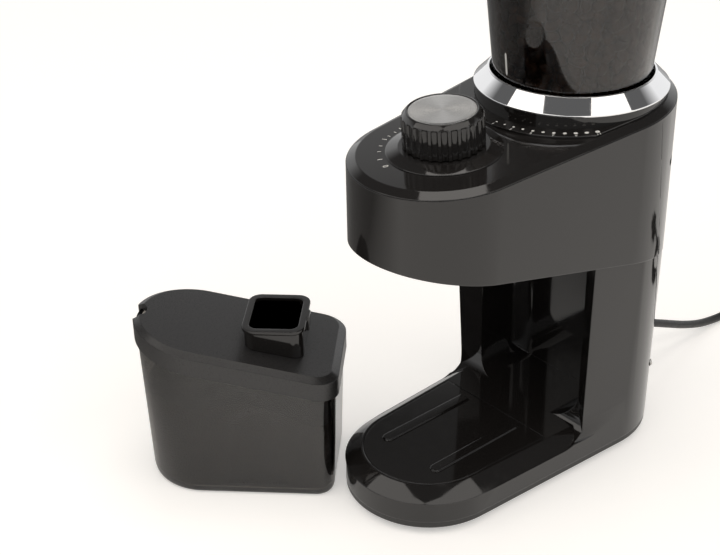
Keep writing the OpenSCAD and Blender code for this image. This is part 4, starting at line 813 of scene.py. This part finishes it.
def jar_outline(inset):
    """The container's plan: a round front, straight sides and a flat back, as (x, y)."""
    r, c = JAR_HALF - inset, JAR_CORNER - inset
    side, back = JAR_HALF - JAR_CORNER, JAR_BACK - JAR_CORNER
    straight = JAR_BACK - JAR_CORNER - JAR_FRONT
    out = []
    for k in range(48):
        a = math.radians(-180 + 180 * k / 48)
        out.append((r * math.cos(a), JAR_FRONT + r * math.sin(a)))
    out += [(r, JAR_FRONT + straight * k / 48) for k in range(48)]
    for k in range(14):
        a = math.radians(90 * k / 14)
        out.append((side + c * math.cos(a), back + c * math.sin(a)))
    out += [(side - 2 * side * k / 20, JAR_BACK - inset) for k in range(20)]
    for k in range(14):
        a = math.radians(90 + 90 * k / 14)
        out.append((c * math.cos(a) - side, back + c * math.sin(a)))
    return out + [(-r, back - straight * k / 48) for k in range(48)]


def smooth_step(t):
    t = min(1.0, max(0.0, t))
    return t * t * (3 - 2 * t)


def arch_depth(y, z):
    """Depth of the arch-topped recess in the container's sides, in millimetres."""
    top, half_low, half_high, centre = 62.0, 20.0, 15.5, 12.0
    half = half_low + (half_high - half_low) * min(1, max(0, z / (top - half_high)))
    spring = top - half
    reach = math.hypot(y - centre, z - spring) if z > spring else abs(y - centre)
    return 0.9 * smooth_step((half - reach) / 1.6) * smooth_step((z - 4) / 6)


def recessed(x, y, z, side):
    """x carried in by the recess, where the point lies on a straight side at more than side."""
    if abs(x) > side and JAR_FRONT < y < JAR_BACK - JAR_CORNER:
        x -= math.copysign(arch_depth(y, z), x)
    return x


class GRINDER_OT_container(bpy.types.Operator):
    """Builds the smoked grounds container, its lid and the chute on the lid"""

    bl_idname = "grinder.container"
    bl_label = "Grounds container"

    def execute(self, context):
        self.jar()
        for node, name, finish, slot, edge in (
            ("container_lid", "container_cap", "half_gloss", "satin_black", 0.6),
            ("lid_chute", "cap_chute", "gloss", "gloss_black", 0.7),
        ):
            add_piece(name, moulded_copy(node, edge), "grounds_container_lid", finish, [node],
                      even=True)
        return {"FINISHED"}

    def jar(self):
        # inset, height, from the foot's underside to the wall and back to the floor inside
        outer = [(7.0, 0.0), (5.4, 0.35), (4.3, 1.1), (3.6, 2.5), (3.2, 4.4), (3.02, 6.2), (3.0, JAR_FOOT)]
        inner = [(2.8, 6.2), (3.3, 4.6), (4.4, 3.5), (6.2, 3.05), (8.0, 3.0)]
        rim = [(0.3 + 0.35, 0.28), (0.3 + 1.1, 0.36), (0.3 + 1.85, 0.28)]
        rings = [self.level(inset, z) for inset, z in outer]
        rings += [self.wall(k / 40, 0, 0) for k in range(1, 41)]
        for inset, lift in rim:
            points = jar_outline(inset)
            rings.append([(x * MM, y * MM, (jar_rim(y) - JAR_RIM_DROP + lift) * MM) for x, y in points])
        rings += [self.wall(k / 40, JAR_WALL, JAR_RIM_DROP) for k in range(40, -1, -1)]
        rings += [self.level(inset + JAR_WALL, z) for inset, z in inner]
        bm = bmesh.new()
        loft(bm, rings, close_start=True, close_end=True)
        add_piece("container_bowl", bm, "grounds_container", "smoked", ["container_jar"],
                  jar_frame(), corner=60)

    def level(self, inset, z):
        return [(x * MM, y * MM, z * MM) for x, y in jar_outline(inset)]

    def wall(self, t, thick, drop):
        """A ring of the leaning wall, t of the way from the foot to drop under the rim."""
        ring = []
        for x, y in jar_outline(thick + JAR_LEAN + (JAR_TOP_INSET - JAR_LEAN) * t):
            z = JAR_FOOT + (jar_rim(y) - drop - JAR_FOOT) * t
            ring.append((recessed(x, y, z, JAR_HALF - 7) * MM, y * MM, z * MM))
        return ring


# ---- coffee


class GRINDER_OT_coffee(bpy.types.Operator):
    """Fills the hopper with beans and the container with ground coffee"""

    bl_idname = "grinder.coffee"
    bl_label = "Coffee"

    def execute(self, context):
        fill = settings("contents")
        if fill.show_beans:
            self.beans(fill.bean_top / MM)
        if fill.show_grounds:
            self.grounds(fill.grounds_depth / MM)
        return {"FINISHED"}

    def bean_shape(self):
        """One bean, 10 by 7 mm: a half-egg with the crease along its flat side, as (points, faces)."""
        rows, cols = 8, 12
        points, faces = [], []
        for i in range(rows + 1):
            v = math.pi * i / rows
            for j in range(cols):
                u = TURN * j / cols
                x, y, z = math.cos(v) * 5.0, math.sin(v) * math.cos(u) * 3.5, math.sin(v) * math.sin(u) * 2.6
                if z < 0:
                    z *= 0.42
                    z += 0.7 * math.exp(-((y / 0.7) ** 2)) * math.sin(v)
                points.append(Vector((x, y, z)) * MM)
        for i in range(rows):
            for j in range(cols):
                a, b = i * cols + j, i * cols + (j + 1) % cols
                faces.append((a, b, b + cols, a + cols))
        return points, faces

    def beans(self, top):
        random.seed(7)
        points, faces = self.bean_shape()
        bm = bmesh.new()

        def put(r, turn, z, lean):
            spin = (Matrix.Rotation(turn, 4, "Z") @ Matrix.Rotation(random.uniform(-lean, lean), 4, "X")
                    @ Matrix.Rotation(math.pi / 2 + random.uniform(-lean, lean), 4, "Y")
                    @ Matrix.Rotation(random.uniform(0, TURN), 4, "Z"))
            where = Matrix.Translation(Vector((r * math.cos(turn), r * math.sin(turn), z)) * MM)
            size = random.uniform(0.86, 1.08)
            made = [bm.verts.new((where @ spin) @ (p * size)) for p in points]
            for face in faces:
                bm.faces.new([made[i] for i in face])

        # two shells of beans against the wall, and lower down against the funnel floor
        pitch, rise, shells = 8.2, 6.2, (3.6, 8.6)
        z = 229.5
        while z < top:
            wall = hopper_radius(z) - HOPPER_WALL
            wall = min(wall, 17 + (z - 224.5) * 2.1)
            for layer, back in enumerate(shells):
                r = wall - back
                count = int(TURN * r / pitch)
                for k in range(count):
                    reach = r + random.uniform(-0.4, 0.0)
                    turn = TURN * (k + 0.5 * (layer % 2) + random.uniform(-0.22, 0.22)) / count
                    put(reach, turn, z + random.uniform(-1.2, 1.2), 0.5)
            z += rise
        # the level top, in rings that close in on the middle
        pitch, step = 8.4, 6.4
        r = hopper_radius(top) - HOPPER_WALL - 4.5
        while r > 2:
            count = max(1, int(TURN * r / pitch))
            for k in range(count):
                put(r, TURN * (k + random.uniform(-0.2, 0.2)) / count, top + random.uniform(-1.5, 1.2), 1.4)
            r -= step
        add_piece("coffee_beans", bm, "bean_hopper", "beans", place=on_axis(), corner=70)

    def grounds(self, depth):
        """A heaped, slightly slumped pile that follows the container's inner wall."""
        gap, foot, middle = JAR_WALL + 0.25, 7.6, 18
        below = ((8.0, 3.2), (6.2, 3.25), (4.4, 3.7), (3.3, 4.8), (2.95, foot))
        rings = [[(x, y, z) for x, y in jar_outline(gap + inset)] for inset, z in below]

        def level(x, y):
            # a ridge across the middle, falling to the back and banked up a little in front
            ridge = 5 * math.exp(-((y - 6) / 17) ** 2)
            heap = depth + ridge - 9 * smooth_step((y - 18) / 30) + 3 * smooth_step((-y - 24) / 20)
            rough = noise.noise(Vector((x, y, 3)) * 0.09) * 2.4 + noise.noise(Vector((x, y, 9)) * 0.45) * 0.9
            return min(heap + rough, jar_rim(y) - 6)

        for k in range(1, 25):
            t = k / 24
            ring = []
            for (x0, y0), (x1, y1) in zip(jar_outline(gap + JAR_LEAN), jar_outline(gap + 0.3)):
                z = foot + (level(x0, y0) - foot) * t
                up = min(1, max(0, (z - JAR_FOOT) / (jar_rim(y0) - JAR_FOOT)))
                x, y = x0 + (x1 - x0) * up, y0 + (y1 - y0) * up
                ring.append((recessed(x, y, z, JAR_HALF - 8), y, z))
            rings.append(ring)
        edge = rings[-1]
        for k in range(1, 22):
            s = 1 - k / 22
            ring = []
            for x, y, _ in edge:
                px, py = x * s, middle + (y - middle) * s
                ring.append((px, py, level(px, py)))
            rings.append(ring)
        bm = bmesh.new()
        rings = [[(x * MM, y * MM, z * MM) for x, y, z in ring] for ring in rings]
        loft(bm, rings, close_start=True, close_end=True)
        add_piece("coffee_grounds", bm, "grounds_container", "grounds", place=jar_frame(),
                  corner=80)


# ---- cord

CORD_D = 5.6
CORD_LIE = CORD_D / 2 + 0.1
COIL_X, COIL_Y, COIL_R, COIL_TURNS = 60.0, 250.0, 31.5, 4
PLUG_X, PLUG_Y, PLUG_LIE = 116.0, 292.0, 8.6
CORD_WAY = (
    (0, 55, 38.0), (0, 61.3, 37), (0, 73, 35.15), (0, 84, 33.4), (0.2, 94, 30.6), (0.6, 104, 26.6),
    (0.8, 118, 20.4), (0.8, 134, 13.4), (0.6, 154, 6.4), (0.8, 172, CORD_LIE + 0.3), (2.6, 190, CORD_LIE),
    (8.5, 208, CORD_LIE), (18, 224, CORD_LIE), (25.6, 238, CORD_LIE),
)
CORD_TAIL = (
    (76, 282.8, CORD_LIE + 4.6), (90, 286.4, CORD_LIE + 2.6), (103, 290.6, CORD_LIE + 4),
    (PLUG_X + 0.5, PLUG_Y, PLUG_LIE),
)


def coil_points():
    """Turns side by side and on each other, clockwise from the left, ending at the back."""
    # each place is (which strand, inner or outer, and which layer)
    out = []
    per_turn = 24
    total = int(per_turn * (COIL_TURNS + 0.25))
    places = ((1, 0), (-1, 0), (-1, 1), (1, 1), (1, 1))
    for k in range(1, total + 1):
        turn = k / per_turn
        step = int(turn)
        fade = smooth_step((turn - step - 0.72) / 0.28)
        here, after = places[min(step, 4)], places[min(step + 1, 4)]
        side = here[0] + (after[0] - here[0]) * fade
        rise = here[1] + (after[1] - here[1]) * fade
        r = COIL_R + side * CORD_D * 0.49
        a = math.pi - turn * TURN
        out.append((COIL_X + r * math.cos(a), COIL_Y + r * math.sin(a), CORD_LIE + rise * CORD_D * 0.93))
    return out


class GRINDER_OT_cord(bpy.types.Operator):
    """Lays the mains cord from the body to its coil and plug"""

    bl_idname = "grinder.cord"
    bl_label = "Mains cord"

    def execute(self, context):
        way = [at(*p) for p in CORD_WAY + tuple(coil_points()) + CORD_TAIL]
        curve = bpy.data.curves.new("mains_cord", "CURVE")
        curve.dimensions = "3D"
        curve.bevel_depth = CORD_D / 2 * MM
        curve.bevel_resolution = 5
        curve.resolution_u = 6
        curve.use_fill_caps = True
        spline = curve.splines.new("BEZIER")
        spline.bezier_points.add(len(way) - 1)
        for i, (knot, here) in enumerate(zip(spline.bezier_points, way)):
            before, after = way[max(i - 1, 0)], way[min(i + 1, len(way) - 1)]
            along = (after - before).normalized()
            knot.co = here
            knot.handle_left = here - along * (here - before).length / 3
            knot.handle_right = here + along * (after - here).length / 3
        cord = bpy.data.objects.new("mains_cord", curve)
        context.scene.collection.objects.link(cord)
        curve.materials.append(finish_of("cord"))
        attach(cord, "housing")
        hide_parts("power_cord", "cord_coil")
        self.tie()
        return {"FINISHED"}

    def tie(self):
        """A flat twist tie drawn round the coil's strands, with its two ends twisted together."""
        half_wide, half_high, lie = CORD_D * 1.06, CORD_D * 1.02, CORD_LIE + CORD_D * 0.47
        thick, end_r = 1.09, 0.75
        bm = bmesh.new()
        rings = []
        for k in range(48):
            a = TURN * k / 48
            # a rounded square that hugs two strands side by side on two below
            grip = (abs(math.cos(a)) ** 4 + abs(math.sin(a)) ** 4) ** -0.25
            across, up = math.cos(a) * grip * half_wide, math.sin(a) * grip * half_high
            rings.append([((COIL_R + across * s) * MM, w * MM, max(up * s + lie, 0.15 + 0.5 * (s - 1)) * MM)
                          for s, w in ((1.0, -2.4), (thick, -2.2), (thick, 2.2), (1.0, 2.4))])
        for pair in zip(rings, rings[1:] + rings[:1]):
            bridge(bm, *[[bm.verts.new(p) for p in ring] for ring in pair])
        top = lie + half_high * thick
        for side in (-1, 1):
            ends = []
            for k in range(29):
                t = k / 28
                a = side * math.pi / 2 + t * TURN * 1.6 * (1 - 0.4 * t)
                r = 1.1 + 2.6 * max(0, t - 0.7)
                ends.append(((COIL_R + t * 3) + r * math.cos(a), r * math.sin(a), top + 0.5 + 9 * t))
            round_end = [(end_r * math.cos(TURN * j / 8), end_r * math.sin(TURN * j / 8)) for j in range(8)]
            wire = [[((x + dx) * MM, (y + dy) * MM, z * MM) for dx, dy in round_end] for x, y, z in ends]
            loft(bm, wire, close_start=True, close_end=True)
        bmesh.ops.remove_doubles(bm, verts=bm.verts, dist=1e-7)
        place = Matrix.Translation(at(COIL_X, COIL_Y, 0)) @ Matrix.Rotation(math.radians(-60), 4, "Z")
        add_piece("cord_tie", bm, "housing", "rubber", place=place, corner=50)


# ---- stage

CAMERA_AT = (513.0, -594.1, 537.0)
CAMERA_AZIMUTH, CAMERA_ELEVATION, CAMERA_ROLL = 49.921, 29.162, -1.18
# name, azimuth from +X, elevation, width, height, radiance; all of them LAMP_REACH from LAMP_AIM
SOFTBOXES = (
    ("right_box", 1, 49, 1.75, 0.9, 1.6),
    ("front_box", -100, 49, 1.75, 0.9, 1.6),
    ("top_box", 130, 84, 0.95, 0.95, 2.3),
)
LAMP_AIM, LAMP_REACH = (0, -50, 150), 1.6
FLOOR_GLOW = 0.42


class GRINDER_OT_stage(bpy.types.Operator):
    """Sets up the camera, the pale floor, the softboxes and the white surroundings"""

    bl_idname = "grinder.stage"
    bl_label = "Studio"

    def execute(self, context):
        self.camera(context)
        self.floor(context)
        self.lamps(context)
        self.world(context)
        context.scene.view_settings.view_transform = "Standard"
        return {"FINISHED"}

    def camera(self, context):
        az, el, roll = (math.radians(v) for v in (CAMERA_AZIMUTH, CAMERA_ELEVATION, CAMERA_ROLL))
        right = Vector((math.cos(az), math.sin(az), 0))
        back = Vector((math.sin(az) * math.cos(el), -math.cos(az) * math.cos(el), math.sin(el)))
        up = back.cross(right)
        turned = Matrix((right * math.cos(roll) + up * math.sin(roll),
                         up * math.cos(roll) - right * math.sin(roll), back)).transposed()
        data = bpy.data.cameras.new("studio_camera")
        data.sensor_fit, data.sensor_width = "HORIZONTAL", 36
        data.lens = settings("stage").lens
        data.clip_start, data.clip_end = 0.05, 50
        camera = bpy.data.objects.new("studio_camera", data)
        context.scene.collection.objects.link(camera)
        camera.matrix_world = Matrix.Translation(at(*CAMERA_AT)) @ turned.to_4x4()
        context.scene.camera = camera

    def floor(self, context):
        """Pale lacquered board: a soft shadow and a faint mirror under the pieces."""
        bm = bmesh.new()
        bmesh.ops.create_grid(bm, x_segments=2, y_segments=2, size=6)
        mesh = mesh_from("studio_floor", bm)
        floor = bpy.data.objects.new("studio_floor", mesh)
        floor.location = (0, 0, -0.0001)
        context.scene.collection.objects.link(floor)
        made, tree, shader = new_material("board_white_lacquered", Roughness=0.22, IOR=1.5,
                                          Emission_Color=linear("fffdfa"))
        seen, glossy = in_plain_sight(tree)
        # painted reflection: in a mirror the board's colour and glow fall off to painted shade on the
        # object's left, where the studio ends, and it glows on its right, as it does in plain sight
        dark, left, right = 0.2, -0.24, 0.04
        place = add_node(tree, "SeparateXYZ", {"Vector": add_node(tree, "TexCoord").outputs["Object"]})
        painted_mirror_falloff = add_node(tree, "MapRange", {"Value": place.outputs["X"], **spans(left, right, dark, 1.0)})
        painted_mirror_light = painted_mirror_falloff.outputs["Result"]
        plain = add_node(tree, "MapRange", {"Value": seen, **spans(0, 1, 0, FLOOR_GLOW)})
        # painted reflection: in a mirror the board's glow follows that ramp, dark on the object's left
        painted_mirror_glow = add_node(tree, "MapRange", {"Value": painted_mirror_light, **spans(dark, 1.0, 0, FLOOR_GLOW)})
        glow = add_node(tree, "Mix", {"Factor": glossy, "A": plain.outputs["Result"],
                                      "B": painted_mirror_glow.outputs["Result"]})
        tree.links.new(glow.outputs[0], shader.inputs["Emission Strength"])
        # painted shade: in a mirror the board's colour is darkened by the same ramp towards the object's left
        painted_mirror_shade = add_node(tree, "Mix", {"Factor": glossy, "A": 1.0, "B": painted_mirror_light})
        board = add_node(tree, "HueSaturation", {"Value": painted_mirror_shade.outputs[0], "Color": linear("f3f0ec")})
        tree.links.new(board.outputs["Color"], shader.inputs["Base Color"])
        mesh.materials.append(made)

    def lamps(self, context):
        level = settings("stage").light_level
        for name, azimuth, elevation, width, height, radiance in SOFTBOXES:
            az, el = math.radians(azimuth), math.radians(elevation)
            back = Vector((math.cos(az) * math.cos(el), math.sin(az) * math.cos(el), math.sin(el)))
            data = bpy.data.lights.new(name, "AREA")
            data.shape, data.size, data.size_y = "RECTANGLE", width, height
            data.energy = radiance * math.pi * width * height * level
            data.color = linear("fffaf4")[:3]
            lamp = bpy.data.objects.new(name, data)
            context.scene.collection.objects.link(lamp)
            turned = back.to_track_quat("Z", "Y").to_matrix().to_4x4()
            lamp.matrix_world = Matrix.Translation(at(*LAMP_AIM) + back * LAMP_REACH) @ turned

    def world(self, context):
        world = bpy.data.worlds.new("studio_surroundings")
        world.use_nodes = True
        tree = world.node_tree
        tree.nodes.clear()
        seen, glossy = in_plain_sight(tree)
        # in a mirror: white round the horizon, as the backdrop is, and dim between the softboxes
        height = add_node(tree, "SeparateXYZ", {"Vector": add_node(tree, "TexCoord").outputs["Generated"]})
        white = add_node(tree, "MapRange", {"Value": height.outputs["Z"], **spans(0.38, 0.57, 1.0, 0.12)})
        glow = add_node(tree, "Mix", {"Factor": glossy, "A": 0.3, "B": white.outputs["Result"]})
        strength = add_node(tree, "Mix", {"Factor": seen, "A": glow.outputs[0], "B": 1.0})
        sky = add_node(tree, "Background", {"Color": (1, 1, 1, 1), "Strength": strength.outputs[0]})
        add_node(tree, "OutputWorld", {"Surface": sky.outputs[0]})
        context.scene.world = world


# ---- add-on

GROUPS = {
    "housing": GrinderHousingSettings,
    "dials": GrinderDialSettings,
    "contents": GrinderContentsSettings,
    "stage": GrinderStageSettings,
}
STEPS = (
    GRINDER_OT_stage, GRINDER_OT_cord, GRINDER_OT_mouldings, GRINDER_OT_collar, GRINDER_OT_dial,
    GRINDER_OT_marks, GRINDER_OT_hopper, GRINDER_OT_container, GRINDER_OT_coffee,
)


class GRINDER_PT_panel(bpy.types.Panel):
    """Lists the grinder's settings and building steps"""

    bl_idname = "GRINDER_PT_panel"
    bl_label = "Burr grinder"
    bl_space_type = "VIEW_3D"
    bl_region_type = "UI"
    bl_category = "Grinder"

    def draw(self, context):
        for name in GROUPS:
            box = self.layout.box()
            box.label(text=name.capitalize())
            group = settings(name)
            for key in group.bl_rna.properties.keys():
                if key not in ("rna_type", "name"):
                    box.prop(group, key)
        for step in STEPS:
            self.layout.operator(step.bl_idname)


def register():
    for cls in (*GROUPS.values(), *STEPS, GRINDER_PT_panel):
        bpy.utils.register_class(cls)
    for name, group in GROUPS.items():
        setattr(bpy.types.Scene, "grinder_" + name, bpy.props.PointerProperty(type=group))


def unregister():
    for name in GROUPS:
        delattr(bpy.types.Scene, "grinder_" + name)
    for cls in reversed((*GROUPS.values(), *STEPS, GRINDER_PT_panel)):
        bpy.utils.unregister_class(cls)


def main():
    register()
    for step in STEPS:
        group, verb = step.bl_idname.split(".")
        getattr(getattr(bpy.ops, group), verb)()


if __name__ == "__main__":
    main()
